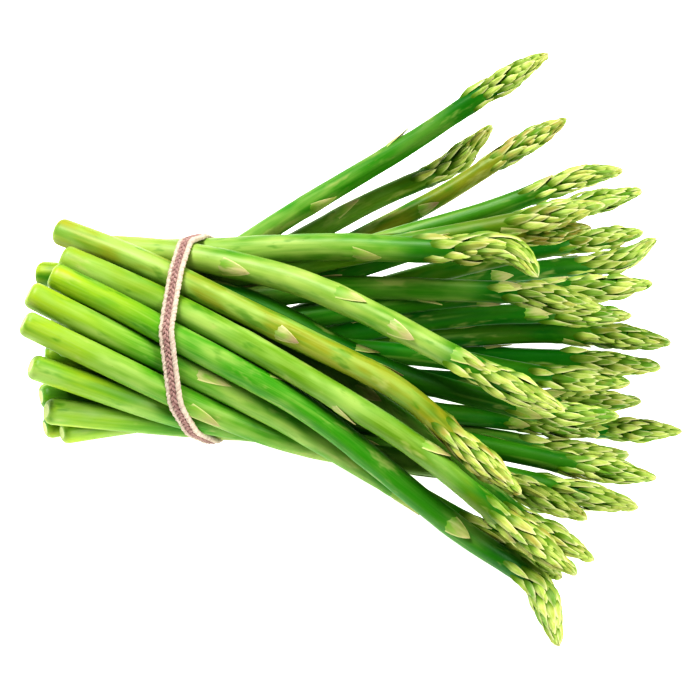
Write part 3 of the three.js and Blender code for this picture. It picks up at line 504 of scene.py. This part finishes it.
# How fine each pattern is: turns of noise in a millimetre along the spear, and across it.
FIBRES, CLOUDS, PATCHES = (0.05, 1.3, 1.3), (0.035, 0.12, 0.12), (0.05, 0.16, 0.16)
STREAKS, SPECKS = (0.016, 0.26, 0.26), (0.5, 1.6, 1.6)
SCALE_VEINS, SCALE_CLOUDS = (0.12, 2.0, 2.0), (0.10, 0.25, 0.25)
BRACT_VEINS, BRACT_CLOUDS = (0.06, 1.8, 1.8), (0.10, 0.30, 0.30)
FLESH_CELLS, CELLS_IN_A_MM = (0.05, 1, 1), 1.25
TWINE_FIBRES = (0.35, 3.0, 3.0)

# How deep each relief is, in metres.
SKIN_RELIEF, LEAF_RELIEF, TWINE_RELIEF = 0.00006, 0.00010, 0.00025
CLOUD_WEIGHT, HEADWARD_GREEN = 1.3, 0.30  # what the clouds, and nearness to the head, add to the depth


def parts_of(finish):
    """The leaf attribute's four shares: depth of green (painted shade included), warmth, along and edge."""
    leaf = finish.attribute("leaf")
    split = finish.node("ShaderNodeSeparateColor", {0: leaf.outputs["Color"]})
    return split.outputs[0], split.outputs[1], split.outputs[2], leaf.outputs["Alpha"]


def make_skin():
    """Waxy stem: green by depth, which holds painted shade on the inner spears and on the head's core
    between the scales, yellow at the butt, fine lengthwise fibres, patches, streaks and specks.
    """
    f = Finish("stem_skin")
    depth, warmth, along, _ = parts_of(f)
    fibres = f.pattern(FIBRES, 4.0, 0.6)
    clouds = f.pattern(CLOUDS)
    patches = f.pattern(PATCHES, 3.0, 0.6)
    streaks = f.pattern(STREAKS, 2.0, 0.5)
    specks = f.pattern(SPECKS, 2.0, 0.5)
    clouded = f.math("ADD", depth, f.times(f.math("SUBTRACT", clouds, 0.5), CLOUD_WEIGHT))
    colour = f.mix(f.ramp(clouded, 0.0, 0.5), PALE_GREEN, LEAF_GREEN)
    toward_head = f.math("ADD", depth, f.times(f.ramp(along, 0.35, 0.95), HEADWARD_GREEN))
    colour = f.mix(f.ramp(toward_head, 0.30, 0.95), colour, DEEP_GREEN)
    lines = f.times(f.ramp(fibres, 0.35, 0.75), f.ramp(toward_head, 0.9, 0.2))
    colour = f.layered(colour, [
        (f.times(f.ramp(along, 0.30, 0.0), f.ramp(clouds, 0.3, 0.75)), 1.0, YELLOW_GREEN),
        (f.times(warmth, f.ramp(clouds, 0.35, 0.60)), 0.8, OLIVE),
        (lines, 0.32, PALE_GREEN),
        (f.ramp(patches, 0.58, 0.72), 0.50, PATCH_PALE),
        (f.ramp(patches, 0.42, 0.28), 0.65, PATCH_GREEN),
        (f.ramp(streaks, 0.50, 0.72), 0.42, STREAK_GREEN),
        (f.ramp(streaks, 0.44, 0.28), 0.25, STREAK_PALE),
        (f.ramp(specks, 0.70, 0.78), 0.50, SPECK),
    ])
    return f.principled({
        "Base Color": colour,
        "Roughness": 0.44,
        "Specular IOR Level": 0.25,
        "Normal": f.bump(fibres, SKIN_RELIEF),
    })


def make_scale():
    """Head scale: yellow-green to green by depth, brown tinge by warmth, a dark foot painted as shade under
    the scales above, pale rim and tip.
    """
    f = Finish("head_scale")
    depth, warmth, along, edge = parts_of(f)
    veins = f.pattern(SCALE_VEINS, 3.0, 0.6)
    clouds = f.pattern(SCALE_CLOUDS)
    light = f.mix(f.ramp(veins, 0.35, 0.75), SCALE_LIGHT, SCALE_PALE)
    body = f.mix(f.ramp(depth, 0.05, 0.95), light, SCALE_GREEN)
    rims = f.times(f.ramp(edge, 0.45, 0.95), f.ramp(along, 0.25, 0.70))
    tips = f.ramp(along, 0.70, 1.0)
    body = f.layered(body, [
        (f.times(warmth, f.ramp(clouds, 0.40, 0.66)), 0.8, SCALE_BROWN),
        # painted shade on the scale's foot, under the scales above it
        (f.ramp(along, 0.55, 0.10), 1.0, SCALE_FOOT_SHADE),
        (f.math("MAXIMUM", rims, tips), 0.70, SCALE_RIM),
    ])
    return f.principled({
        "Base Color": body,
        "Roughness": 0.46,
        "Specular IOR Level": 0.18,
        "Normal": f.bump(veins, LEAF_RELIEF),
    })


def make_bract():
    """Papery leaf on the stem: green foot, beige clouds, dark veins, a mauve tinge and a cream edge."""
    f = Finish("stem_bract")
    _, warmth, along, edge = parts_of(f)
    veins = f.pattern(BRACT_VEINS, 3.0, 0.6)
    clouds = f.pattern(BRACT_CLOUDS)
    body = f.layered(f.mix(f.ramp(along, 0.0, 0.9), BRACT_FOOT, BRACT_BLADE), [
        (f.ramp(clouds, 0.42, 0.66), 0.55, BEIGE),
        (f.ramp(veins, 0.45, 0.75), 0.45, BRACT_VEIN),
        (f.times(warmth, f.ramp(along, 0.3, 0.9)), 0.8, MAUVE),
        (f.ramp(edge, 0.75, 1.0), 0.55, CREAM),
    ])
    return f.principled({"Base Color": body, "Roughness": 0.6, "Normal": f.bump(veins, LEAF_RELIEF)})


def make_cut():
    """Cut end: pale green-cream flesh with darker bundles of fibre."""
    f = Finish("cut_end")
    straight = f.attribute("straight").outputs["Vector"]
    spread = f.stretched(straight, FLESH_CELLS)
    cells = f.node("ShaderNodeTexVoronoi", {"Vector": spread, "Scale": CELLS_IN_A_MM})
    dots = f.ramp(cells.outputs["Distance"], 0.30, 0.12)
    colour = f.mix(f.noise(straight, 0.4), FLESH_GREEN, FLESH_PALE)
    colour = f.mix(f.times(dots, 0.6), colour, FLESH_FIBRE)
    return f.principled({"Base Color": colour, "Roughness": 0.5, "Normal": f.bump(dots, LEAF_RELIEF)})


SPEAR_FINISHES = [make_skin(), make_scale(), make_bract(), make_cut()]
SKIN_FINISH, SCALE_FINISH, BRACT_FINISH, CUT_FINISH = range(4)


# ---- one spear ----

# The section of a scale or bract: places across it (-1 to 1) and whether on its outer side.
SECTION_ACROSS = np.array([-1, -0.55, 0, 0.55, 1, 0.4, -0.4])
SECTION_OUTER = np.array([1, 1, 1, 1, 1, 0, 0], bool)
LEAF_ROWS = np.array([0, 0.16, 0.38, 0.62, 0.83, 0.96])
BELLY_START, BELLY_SPAN, BELLY_POWER = 0.12, 0.9, 0.8
HOLLOW = 0.75  # the inner side follows this much of the belly
LEAST_RADIUS = 0.12
ROUND_ROOM, LEAST_ROUND, MOST_SPREAD = 0.4, 1.1, 1.75  # limits of a leaf's reach round a thin core
FOOT_BACK, FOOT_SINK, END_RADIUS = 0.3, 0.9, 0.1


def scale_shape(a):
    """Broadest in the lower third, then drawn out to a point: 1.62 (1 - a)^0.95 (0.576 + 0.88 a)."""
    return 1.62 * (1 - a) ** 0.95 * (0.576 + 0.88 * a)


def bract_shape(a):
    """A triangle with a broad foot and slightly curved sides: (1 - a^1.3)^0.9."""
    return (1 - a ** 1.3) ** 0.9


def blades(spear, surface, leaves, shape, keel, lift, wall, finish, ground):
    """Pointed leaves that hug the spear.

    A point at share a along and x across one leaf stands at s = foot + a length,
    angle = middle + x half width(a) / radius, and
    radius = ground(s) + lift(a) + belly sin(pi (0.12 + 0.9 a))^0.8 (1 - |x|^keel);
    the inner side is the same less the wall and three quarters of the belly.
    Half width = width times shape(a).
    """
    a = LEAF_ROWS[None, :, None]
    x = SECTION_ACROSS[None, None, :]
    feet, lengths, angles, widths, belly, depth, warmth = (
        leaves[key][:, None, None]
        for key in ("foot", "length", "angle", "width", "belly", "depth", "warmth")
    )
    s = feet + a * lengths + 0 * x
    arch = np.sin(np.pi * np.clip(a * BELLY_SPAN + BELLY_START, 0, 1)) ** BELLY_POWER
    bulge = belly * arch * (1 - np.abs(x) ** keel)
    below, raised = ground(s), lift(a)
    radius = below + raised + bulge - ~SECTION_OUTER * (wall + HOLLOW * bulge)
    radius = np.maximum(radius, LEAST_RADIUS)
    spread = widths * shape(a) / np.maximum(below + ROUND_ROOM, LEAST_ROUND)
    angle = angles + x * np.clip(spread, 0, MOST_SPREAD)
    rows = spear.place(s, angle, radius)
    feet, angles, tips = feet[:, 0, 0], angles[:, 0, 0], (feet + lengths)[:, 0, 0]
    foot = spear.place(feet - FOOT_BACK, angles, np.maximum(ground(feet) - FOOT_SINK, END_RADIUS))
    end = np.broadcast_to(raised, (len(feet), len(LEAF_ROWS), 1))[:, -1, 0]
    tip = spear.place(tips, angles, np.maximum(ground(tips) + end, END_RADIUS))
    leaf = np.stack(np.broadcast_arrays(depth, warmth, a, np.abs(x)), axis=-1)
    surface.lofts(rows, foot, tip, spear.straight(s, angle, radius), leaf, finish)


def bract_places(spear, rng):
    """Foot, length and angle of each bract, from the head down, with more room between them lower down."""
    count = BRACTS_OUTSIDE if spear.number <= SPEARS_OUTSIDE else BRACTS_INSIDE
    order = np.arange(count)
    room = BRACT_ROOM * order + BRACT_ROOM_GROWTH * order ** 2
    from_tip = FIRST_BRACT * spear.head + room + rng.uniform(*BRACT_SHIFT, count)
    lengths = spear.thickness * rng.uniform(*BRACT_LENGTHS, count)
    angles = spear.turn + order * GOLDEN_TURN + BRACT_TURN
    if spear.number in BRACTS_SEEN:
        from_tip, angles = (np.array(row, float) for row in zip(*BRACTS_SEEN[spear.number]))
    return spear.whole - from_tip - lengths, lengths, angles


def stem_rings(spear):
    """Distance along, and radius, of each ring of the cut end, the stem and the head's core.

    The rim follows a quarter round; past the neck the radius turns over 6 mm from the stem's to 0.79 of
    the head's.
    """
    stem_s = np.linspace(END_ROUNDING, spear.neck, int((spear.neck - BUTT_ROUNDING) / STEM_STEP))
    core_s = np.linspace(spear.neck, spear.whole - CORE_END, CORE_ROWS)[1:]
    quarter = np.linspace(0, math.pi / 2, RIM_ROWS + 1)[:-1]
    rim_s = END_ROUNDING * (1 - np.cos(quarter))
    s = np.concatenate([CUT_DISH * (1 - CUT_SCALES), rim_s, stem_s, core_s])
    rim_scales = RIM_SHARE + (1 - RIM_SHARE) * np.sin(quarter)
    scales = np.concatenate([CUT_SCALES, rim_scales, np.ones(len(stem_s) + len(core_s))])
    at_neck = spear.stem_radius(spear.neck) + SKIN
    into_head = smooth_step((s - spear.neck) / CORE_START)
    core = at_neck + (CORE_SHARE * spear.head_radius(s) - at_neck) * into_head
    return s, np.where(s > spear.neck, core, spear.stem_radius(s) + SKIN) * scales


def add_stem(spear, surface, rng):
    """Stem, cut end and the head's core in one loft. Gives back the places of the bracts.

    Radius = the ring's radius times 1 + ridges + swell + joints: the ridges are cosines round the stem
    that drift along it, the swell a slow sine along it, and a joint a one-sided bell at a bract's foot.
    """
    s, radius = stem_rings(spear)
    angle = spear.turn + np.linspace(0, FULL_TURN, STEM_SIDES, endpoint=False)
    phases = rng.uniform(0, FULL_TURN, len(RIDGES) + 1)
    feet, lengths, angles = bract_places(spear, rng)
    from_foot = s[:, None] - feet[None] + JOINT_START
    bell = np.exp(-(from_foot / np.where(from_foot > 0, JOINT_AFTER, JOINT_BEFORE)) ** 2)
    lean = 0.5 + 0.5 * np.cos(angle[:, None] - angles[None])
    joints = JOINT_SWELL * (bell[:, None, :] * (JOINT_ROUND + (1 - JOINT_ROUND) * lean)).sum(2)
    ridges = sum(
        weight * np.cos(number * angle[None, :] + drift * s[:, None] + phase)
        for (number, drift, weight), phase in zip(RIDGES, phases)
    )
    swell = SWELL_HEIGHT * np.sin(s / SWELL_LENGTH + phases[-1])[:, None]
    radius = radius[:, None] * (1 + RIDGE_HEIGHT * ridges + swell + joints)
    s, angle = np.broadcast_arrays(s[:, None], angle[None, :])
    # the depth share: the spear's tone with painted shade on the inner spears, deepened toward the neck and
    # as painted shade on the core between the scales
    into_gap_shade = s - spear.neck + GAP_SHADE_FROM * spear.head
    leaf = np.stack([
        spear.depth + NECK_GREEN_AND_GAP_SHADE * smooth_step(into_gap_shade / GAP_SHADE_LENGTH),
        np.full_like(s, spear.warmth),
        np.clip(s / spear.neck, 0, 1),
        np.zeros_like(s),
    ], axis=-1)
    foot = spear.place(CUT_CENTRE, 0.0, 0.0)[None]
    tip = spear.place(spear.whole - CORE_TIP, 0.0, 0.0)[None]
    points, straight = spear.place(s, angle, radius), spear.straight(s, angle, radius)
    surface.lofts(points[None], foot, tip, straight[None], leaf[None], SKIN_FINISH)
    # the cut face takes its own finish
    surface.quad_finish[-1].reshape(-1, STEM_SIDES)[:len(CUT_SCALES)] = CUT_FINISH
    surface.triangle_finish[-1][:STEM_SIDES] = CUT_FINISH
    return feet, lengths, angles


def add_bracts(spear, surface, rng, places):
    """Bracts up the stem. Each stands on the joint below it, and its foot runs into the stem."""
    feet, lengths, angles = places
    count = len(feet)
    opened = (spear.thickness * rng.uniform(*BRACT_OPENED, count))[:, None, None]
    bracts = {
        "foot": feet, "length": lengths, "angle": angles,
        "width": spear.thickness * rng.uniform(*BRACT_WIDTHS, count),
        "belly": spear.thickness * rng.uniform(*BRACT_BELLIES, count),
        "depth": np.full(count, spear.depth),
        "warmth": np.clip(spear.warmth + rng.uniform(*BRACT_WARMER, count), 0, 1),
    }

    def ground(s):
        past = s - feet.reshape((count,) + (1,) * (np.ndim(s) - 1)) + JOINT_START
        return spear.stem_radius(s) * (1 + JOINT_SWELL * np.exp(-(past / JOINT_AFTER) ** 2)) + SKIN

    def lift(a):
        sunk = BRACT_FOOT_SINK * np.clip(1 - a / BRACT_FOOT_SHARE, 0, 1) ** 2
        return BRACT_OFF + BRACT_SLOPE * a + opened * a ** BRACT_CURL - sunk

    blades(spear, surface, bracts, bract_shape, BRACT_KEEL, lift, BRACT_WALL, BRACT_FINISH, ground)


def scale_lift(stand):
    """How far a scale stands off at share a: stand (0.9 sin(0.62 pi a) + 0.25 a^2) - 0.40."""
    return lambda a: stand * (0.9 * np.sin(np.pi * np.clip(a * 0.62, 0, 1)) + 0.25 * a ** 2) - SCALE_SINK


def add_head(spear, surface, rng):
    """The head's scales, in a spiral from the neck to the tip, and small buds past the lower ones."""
    def ground(s):
        inside = spear.head_radius(np.maximum(s, spear.neck)) * SCALE_GROUND
        return np.where(s < spear.neck, spear.stem_radius(spear.neck) + SKIN - SCALE_UNDER, inside)

    def add(leaves, stand):
        lift = scale_lift(stand)
        blades(spear, surface, leaves, scale_shape, SCALE_KEEL, lift, SCALE_WALL, SCALE_FINISH, ground)

    order = np.arange(HEAD_SCALES)
    share = order / (HEAD_SCALES - 1)

    def each(spread):
        return rng.uniform(*spread, HEAD_SCALES)

    def measured(at_neck, less, spread):
        return spear.thickness * (at_neck - less * share) * each(spread)

    feet = spear.neck + spear.head * (SCALES_FROM + SCALES_OVER * share ** SCALES_CROWD)
    lengths = np.minimum(measured(*SCALE_LENGTHS), spear.whole + PAST_TIP - feet)
    angles = spear.turn + (order + FIRST_SCALE) * GOLDEN_TURN + each(SCALE_TURN)
    stand = (spear.opened * each(STAND_SPREAD) * (1 - STAND_LESS * share))[:, None, None]
    scales = {
        "foot": feet, "length": lengths, "angle": angles,
        "width": measured(*SCALE_WIDTHS),
        "belly": measured(*SCALE_BELLIES),
        "depth": np.clip(SCALE_DEPTH + SCALE_DEPTH_BY_STEM * spear.depth + each(SCALE_DEEPER), 0, 1),
        "warmth": np.clip(spear.warmth + each(SCALE_WARMER), 0, 1),
    }
    add(scales, stand)

    axils = np.arange(BUDS) * 2
    buds = {
        "foot": feet[axils] + lengths[axils] * rng.uniform(*BUD_AT, BUDS),
        "length": spear.thickness * rng.uniform(*BUD_LENGTHS, BUDS),
        "angle": angles[axils] + rng.uniform(*BUD_TURN, BUDS),
        "width": spear.thickness * rng.uniform(*BUD_WIDTHS, BUDS),
        "belly": spear.thickness * rng.uniform(*BUD_BELLIES, BUDS),
        "depth": scales["depth"][axils], "warmth": scales["warmth"][axils],
    }
    add(buds, BUD_STAND)


def make_spear(number):
    """Stem with its cut end, bracts and scaly head, as one piece."""
    spear = Spear(number)
    rng = np.random.default_rng(SEED + number)
    surface = Surface()
    places = add_stem(spear, surface, rng)
    add_bracts(spear, surface, rng, places)
    add_head(spear, surface, rng)
    piece = surface.mesh(f"asparagus_{number:02d}", SPEAR_FINISHES)
    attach(piece, "root")
    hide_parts(spear.node)
    if number in PALE_SPEARS:
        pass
    elif number in DEEP_SPEARS:
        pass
    else:
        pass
    return spear


spears = [make_spear(number) for number in sorted(LOOKS)]


# ---- the tie ----
TIE_AT, TIE_LEAN_V, TIE_LEAN_W = 5.0, -0.03, -0.42  # the tie's plane across the sheaf
TIE_RAYS, TIE_POINTS = 1440, 900
TIE_STAND, TIE_LOWEST = 0.75, 0.95  # of the braid's middle over the stems, and over the table
TIE_EASED_OVER = 7  # points
PITCH = 6.8  # of the braid
TWINE_LOBES, TWINE_WANDER, WANDER_POINTS = (0.80, 0.26), 0.07, 40
TWINE_ROOM = 40  # between the strands, where patterns are laid out straight
STRAND_SIDES, CORD_SIDES = 14, 12
EDGE_AT, EDGE_SWAY, EDGE_RISE, EDGE_THICK, EDGE_PLIES = 2.20, 0.12, 0.05, 1.10, 2
EDGES = ((-1, 3), (1, 4))  # side and seed
BRAID_SWAY, BRAID_MIDDLE, BRAID_RISE, BRAID_THICK, BRAID_PLIES = 0.95, 0.25, 0.45, 0.62, 3
BRAID_STRANDS, BRAID_SEED = 3, 10
CREAM_TWINE, MAUVE_TWINE = 0, 1  # the braid's finishes

# The knot: three cords wrapped round the band, and three in each tail.
KNOT_ANGLE = math.radians(-40)
KNOT_RISE = 0.5
WRAP_HALF_WIDTH, WRAP_HALF_HEIGHT, WRAP_START, WRAP_ROWS = 3.7, 1.75, 0.35, 41
WRAP_CORDS = ((-1.75, CREAM_TWINE), (0.0, MAUVE_TWINE), (1.75, CREAM_TWINE))
WRAP_SLANT, WRAP_THICK, WRAP_TWIST, WRAP_SEED = 0.45, 1.0, 22, 20
TAIL_LENGTH, TAIL_HEADINGS, TAIL_ROWS = 11.0, (math.radians(18), math.radians(144)), 25
TAIL_CORDS = ((-1.15, CREAM_TWINE), (0.0, MAUVE_TWINE), (1.15, CREAM_TWINE))
TAIL_UP, TAIL_BACK = 0.62, 0.30  # the tail rises, then turns over
TAIL_SPLAY, TAIL_THICK, TAIL_THINNER, TAIL_TWIST, TAIL_SEED = 0.9, 0.85, 0.30, 14, 30
SPLAY_POWER, THINNER_POWER = 5, 6  # both only toward the end


def make_twine(name, light, dark):
    """Twine: twisted fibres, light and dark, dull."""
    f = Finish(name)
    fibres = f.pattern(TWINE_FIBRES, 4.0, 0.65)
    clouds = f.noise(f.attribute("straight").outputs["Vector"], 0.16, 2.0)
    colour = f.mix(f.ramp(fibres, 0.3, 0.7), dark, light)
    colour = f.mix(f.times(f.ramp(clouds, 0.4, 0.7), 0.35), colour, light)
    return f.principled({
        "Base Color": colour,
        "Roughness": 0.9,
        "Sheen Weight": 0.15,
        "Normal": f.bump(fibres, TWINE_RELIEF),
    })


cream_twine = make_twine("twine_cream", TWINE_CREAM, TWINE_TAN)
mauve_twine = make_twine("twine_mauve", TWINE_MAUVE, TWINE_PLUM)


def tie_loop():
    """The loop that hugs the spears where the tie's plane crosses them, and the plane's normal.

    Reach in each direction = the greatest of (place . direction + oblique radius); the loop's point =
    reach times direction + its slope times the direction's normal.
    """
    board_axes = np.stack([ALONG, ACROSS, OUTWARD])
    plane = unit(np.array([1, -TIE_LEAN_V, -TIE_LEAN_W]))
    middles, tangents, radii = [], [], []
    for spear in spears:
        board = (spear.middle - SHEAF_MIDDLE) @ board_axes.T
        past = board[:, 0] - TIE_AT - TIE_LEAN_V * board[:, 1] - TIE_LEAN_W * board[:, 2]
        k = np.argmax(past >= 0)
        step = board[k] - board[k - 1]
        middles.append(board[k - 1] + past[k - 1] / (past[k - 1] - past[k]) * step)
        tangents.append(unit(step))
        radii.append(spear.stem_radius(spear.s[k]) + SKIN + TIE_STAND)
    middles, tangents, radii = np.array(middles), np.array(tangents), np.array(radii)
    angles = np.linspace(0, FULL_TURN, TIE_RAYS, endpoint=False)
    out = np.stack([np.zeros_like(angles), np.cos(angles), np.sin(angles)], axis=1)
    lean = (out @ tangents.T) / (tangents @ plane)[None, :]
    oblique = np.linalg.norm(out[:, None] - lean[..., None] * plane, axis=2)
    reach = (out[:, 1:] @ middles[:, 1:].T + oblique * radii[None, :]).max(1)
    slope = (np.roll(reach, -1) - np.roll(reach, 1)) / (angles[2] - angles[0])
    v = reach * np.cos(angles) - slope * np.sin(angles)
    w = reach * np.sin(angles) + slope * np.cos(angles)
    u = TIE_AT + TIE_LEAN_V * v + TIE_LEAN_W * w
    return SHEAF_MIDDLE + np.stack([u, v, w], axis=1) @ board_axes, plane @ board_axes


def closed_even(loop, count):
    """A closed line with count points at even distances, and its length."""
    closed = np.vstack([loop, loop[:1]])
    lengths = distances_along(closed)
    even = np.linspace(0, lengths[-1], count, endpoint=False)
    return np.stack([np.interp(even, lengths, closed[:, k]) for k in range(3)], axis=1), lengths[-1]


def eased_closed(points, steps):
    """A closed line eased by a running mean, twice."""
    kernel = np.ones(steps) / steps
    for _ in range(2):
        wrapped = np.concatenate([points[-steps:], points, points[:steps]])
        eased_columns = [np.convolve(column, kernel, "same") for column in wrapped.T]
        points = np.stack(eased_columns, axis=1)[steps:-steps]
    return points


def rings_round(middle, tangent, out, angles, radius):
    """Rings round a line: middle + radius (first cos angle + second sin angle).

    First is the outward direction made square to the line, second is square to both.
    """
    first = unit(out - (out * tangent).sum(-1, keepdims=True) * tangent)
    second = np.cross(tangent, first)
    around = np.cos(angles)[None, :, None] * first[:, None] + np.sin(angles)[None, :, None] * second[:, None]
    return middle[:, None] + radius[..., None] * around


def laid_straight(along, radius, turned, seed):
    """Where the places of a twisted strand would be if it were straight and untwisted."""
    along = along[:, None] + 0 * turned + seed * TWINE_ROOM
    return np.stack([along, radius * np.cos(turned), radius * np.sin(turned)], axis=-1)


tie_path, tie_normal = tie_loop()
tie_path, _ = closed_even(tie_path, TIE_POINTS)
tie_path = eased_closed(tie_path, TIE_EASED_OVER)
tie_path[:, 2] = np.maximum(tie_path[:, 2], TIE_LOWEST)
tie_path, tie_length = closed_even(tie_path, TIE_POINTS)
tie_tangent = unit(np.roll(tie_path, -1, axis=0) - np.roll(tie_path, 1, axis=0))
tie_out = unit(np.cross(tie_tangent, tie_normal))
LINKS = int(round(tie_length / PITCH))
TWISTS = 2 * LINKS  # of each strand, round the whole tie


def strand(surface, sideways, outward, thick, plies, seed, finish):
    """A closed twisted strand along the tie's loop.

    Its middle is the loop + sideways times the tie's normal + outward times its outward direction. Its
    radius is thick (0.80 + 0.26 |cos(plies / 2 (angle - twist))|) (1 + 0.07 times a slow random wander).
    """
    middle = tie_path + sideways[:, None] * tie_normal + outward[:, None] * tie_out
    tangent = unit(np.roll(middle, -1, axis=0) - np.roll(middle, 1, axis=0))
    angles = np.linspace(0, FULL_TURN, STRAND_SIDES, endpoint=False)
    swells = np.random.default_rng(seed).uniform(-1, 1, WANDER_POINTS)
    wander = np.interp(tie_share, np.linspace(0, 1, WANDER_POINTS + 1), np.append(swells, swells[0]))
    turned = angles[None] - FULL_TURN * TWISTS * tie_share[:, None]
    lobes = TWINE_LOBES[0] + TWINE_LOBES[1] * np.abs(np.cos(plies / 2 * turned))
    radius = thick * lobes * (1 + TWINE_WANDER * wander[:, None])
    rows = rings_round(middle, tangent, tie_out, angles, radius)
    rows[..., 2] = np.maximum(rows[..., 2], FLOOR_ROOM)
    surface.hoop(rows, laid_straight(tie_share * tie_length, radius, turned, seed), finish)


def cord(surface, middle, thick, twist, seed, finish):
    """A short twisted cord with closed ends.

    Its radius is the thickness at each place times 0.80 + 0.26 |cos(angle - twist)|.
    """
    tangent = unit(np.gradient(middle, axis=0))
    angles = np.linspace(0, FULL_TURN, CORD_SIDES, endpoint=False)
    turned = angles[None] - twist * np.linspace(0, 1, len(middle))[:, None]
    radius = thick[:, None] * (TWINE_LOBES[0] + TWINE_LOBES[1] * np.abs(np.cos(turned)))
    rows = rings_round(middle, tangent, knot_out, angles, radius)
    along = np.linspace(0, distances_along(middle)[-1], len(middle))
    straight = laid_straight(along, radius, turned, seed)
    leaf = np.zeros((1, *rows.shape[:2], 4))
    surface.lofts(rows[None], middle[:1], middle[-1:], straight[None], leaf, finish)


tie_share = np.arange(TIE_POINTS) / TIE_POINTS
phase = FULL_TURN * LINKS * tie_share
edges = Surface()
for side, seed in EDGES:
    sideways = side * (EDGE_AT + EDGE_SWAY * np.cos(phase * 2))
    strand(edges, sideways, EDGE_RISE * np.sin(phase * 2), EDGE_THICK, EDGE_PLIES, seed, CREAM_TWINE)
braid = Surface()
for k in range(BRAID_STRANDS):
    turn = phase + FULL_TURN * k / BRAID_STRANDS
    rise = BRAID_MIDDLE + BRAID_RISE * np.sin(2 * turn)
    strand(braid, BRAID_SWAY * np.sin(turn), rise, BRAID_THICK, BRAID_PLIES, BRAID_SEED + k, MAUVE_TWINE)

# The knot sits on the hidden back: the band goes on under a short wrap, and two tails stand off.
knot_ray = math.cos(KNOT_ANGLE) * ACROSS + math.sin(KNOT_ANGLE) * OUTWARD
from_middle = tie_path - tie_path.mean(0)
knot_at = int(np.argmax((from_middle @ knot_ray) / np.linalg.norm(from_middle, axis=1)))
knot_out, knot_round = tie_out[knot_at], tie_tangent[knot_at]
knot_middle = tie_path[knot_at] + KNOT_RISE * knot_out
turn = np.linspace(WRAP_START, FULL_TURN + WRAP_START, WRAP_ROWS)[:, None]
for offset, finish in WRAP_CORDS:
    wrap = knot_middle + (
        WRAP_HALF_WIDTH * np.cos(turn) * tie_normal
        + WRAP_HALF_HEIGHT * np.sin(turn) * knot_out
        + (offset + WRAP_SLANT * np.sin(turn)) * knot_round
    )
    cord(braid, wrap, np.full(WRAP_ROWS, WRAP_THICK), WRAP_TWIST, WRAP_SEED + offset, finish)
t = np.linspace(0, 1, TAIL_ROWS)
for heading in TAIL_HEADINGS:
    ahead = math.cos(heading) * tie_normal + math.sin(heading) * knot_round
    beside = np.cross(knot_out, ahead)
    height = TAIL_LENGTH * (TAIL_UP * t - TAIL_BACK * t ** 2)
    run = knot_middle + (TAIL_LENGTH * t)[:, None] * ahead + height[:, None] * knot_out
    for offset, finish in TAIL_CORDS:
        splayed = run + (offset * TAIL_SPLAY * (1 + t ** SPLAY_POWER))[:, None] * beside
        thick = TAIL_THICK - TAIL_THINNER * t ** THINNER_POWER
        cord(braid, splayed, thick, TAIL_TWIST, TAIL_SEED + offset + heading, finish)

tie_edges = edges.mesh("tie_edge_cords", [cream_twine], TWINE_CREASE)
tie_braid = braid.mesh("tie_middle_braid", [cream_twine, mauve_twine], TWINE_CREASE)
for piece in (tie_edges, tie_braid):
    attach(piece, "root")
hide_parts("tie")

# ---- floor, light and camera ----
FLOOR_HALF, FLOOR_WHITE, FLOOR_GLOW, ROOM_LIGHT = 3, 0.90, 0.74, 0.16
LIGHT_AIM = Vector((0, 0, 0.03))
LENS, SENSOR, FRAME_WIDTH = 900, 36, 0.280
NEAREST, FARTHEST = 0.5, 40  # metres
VIEW_ALONG, VIEW_ACROSS = 64.0, -4.8  # what the camera looks at, from the sheaf's middle

floor_finish = Finish("floor_white")
floor_shader = floor_finish.node("ShaderNodeBsdfPrincipled", {
    "Base Color": (FLOOR_WHITE, FLOOR_WHITE, FLOOR_WHITE, 1), "Roughness": 0.9,
})
floor_glow = floor_finish.node("ShaderNodeEmission", {"Color": (1, 1, 1, 1), "Strength": FLOOR_GLOW})
floor_sum = floor_finish.node("ShaderNodeAddShader", {0: floor_shader.outputs[0], 1: floor_glow.outputs[0]})
floor_finish.node("ShaderNodeOutputMaterial", {"Surface": floor_sum.outputs[0]})
floor_mesh = bpy.data.meshes.new("floor")
floor_corners = [(x * FLOOR_HALF, y * FLOOR_HALF, 0) for x, y in ((-1, -1), (1, -1), (1, 1), (-1, 1))]
floor_mesh.from_pydata(floor_corners, [], [(0, 1, 2, 3)])
floor_mesh.materials.append(floor_finish.material)
floor = bpy.data.objects.new("floor", floor_mesh)
bpy.context.scene.collection.objects.link(floor)

world = bpy.data.worlds.new("soft_white_room")
world.use_nodes = True
background = world.node_tree.nodes["Background"]
background.inputs["Color"].default_value = (1, 1, 1, 1)
background.inputs["Strength"].default_value = ROOM_LIGHT
bpy.context.scene.world = world


def soft_light(name, place, size, power):
    """A square soft light that faces the bundle."""
    data = bpy.data.lights.new(name, "AREA")
    data.shape, data.size, data.energy = "SQUARE", size, power
    light = bpy.data.objects.new(name, data)
    light.location = place
    light.rotation_mode = "QUATERNION"
    light.rotation_quaternion = (LIGHT_AIM - Vector(place)).to_track_quat("-Z", "Y")
    bpy.context.scene.collection.objects.link(light)


soft_light("key_upper_left", place=(-0.50, 0.42, 1.15), size=0.5, power=20)
soft_light("fill_right", place=(1.1, -0.5, 0.8), size=0.7, power=19)

camera_data = bpy.data.cameras.new("camera")
camera_data.lens, camera_data.sensor_width = LENS, SENSOR
camera_data.clip_start, camera_data.clip_end = NEAREST, FARTHEST
camera = bpy.data.objects.new("camera", camera_data)
aim = Vector(((SHEAF_MIDDLE + VIEW_ALONG * ALONG + VIEW_ACROSS * ACROSS) * MM).tolist())
back = Vector(OUTWARD.tolist())
camera.location = aim + back * (FRAME_WIDTH * LENS / SENSOR)
camera.rotation_mode = "QUATERNION"
camera.rotation_quaternion = (-back).to_track_quat("-Z", "Y")
bpy.context.scene.collection.objects.link(camera)
bpy.context.scene.camera = camera
bpy.context.scene.view_settings.view_transform = "Standard"
bpy.context.scene.view_settings.look = "High Contrast"
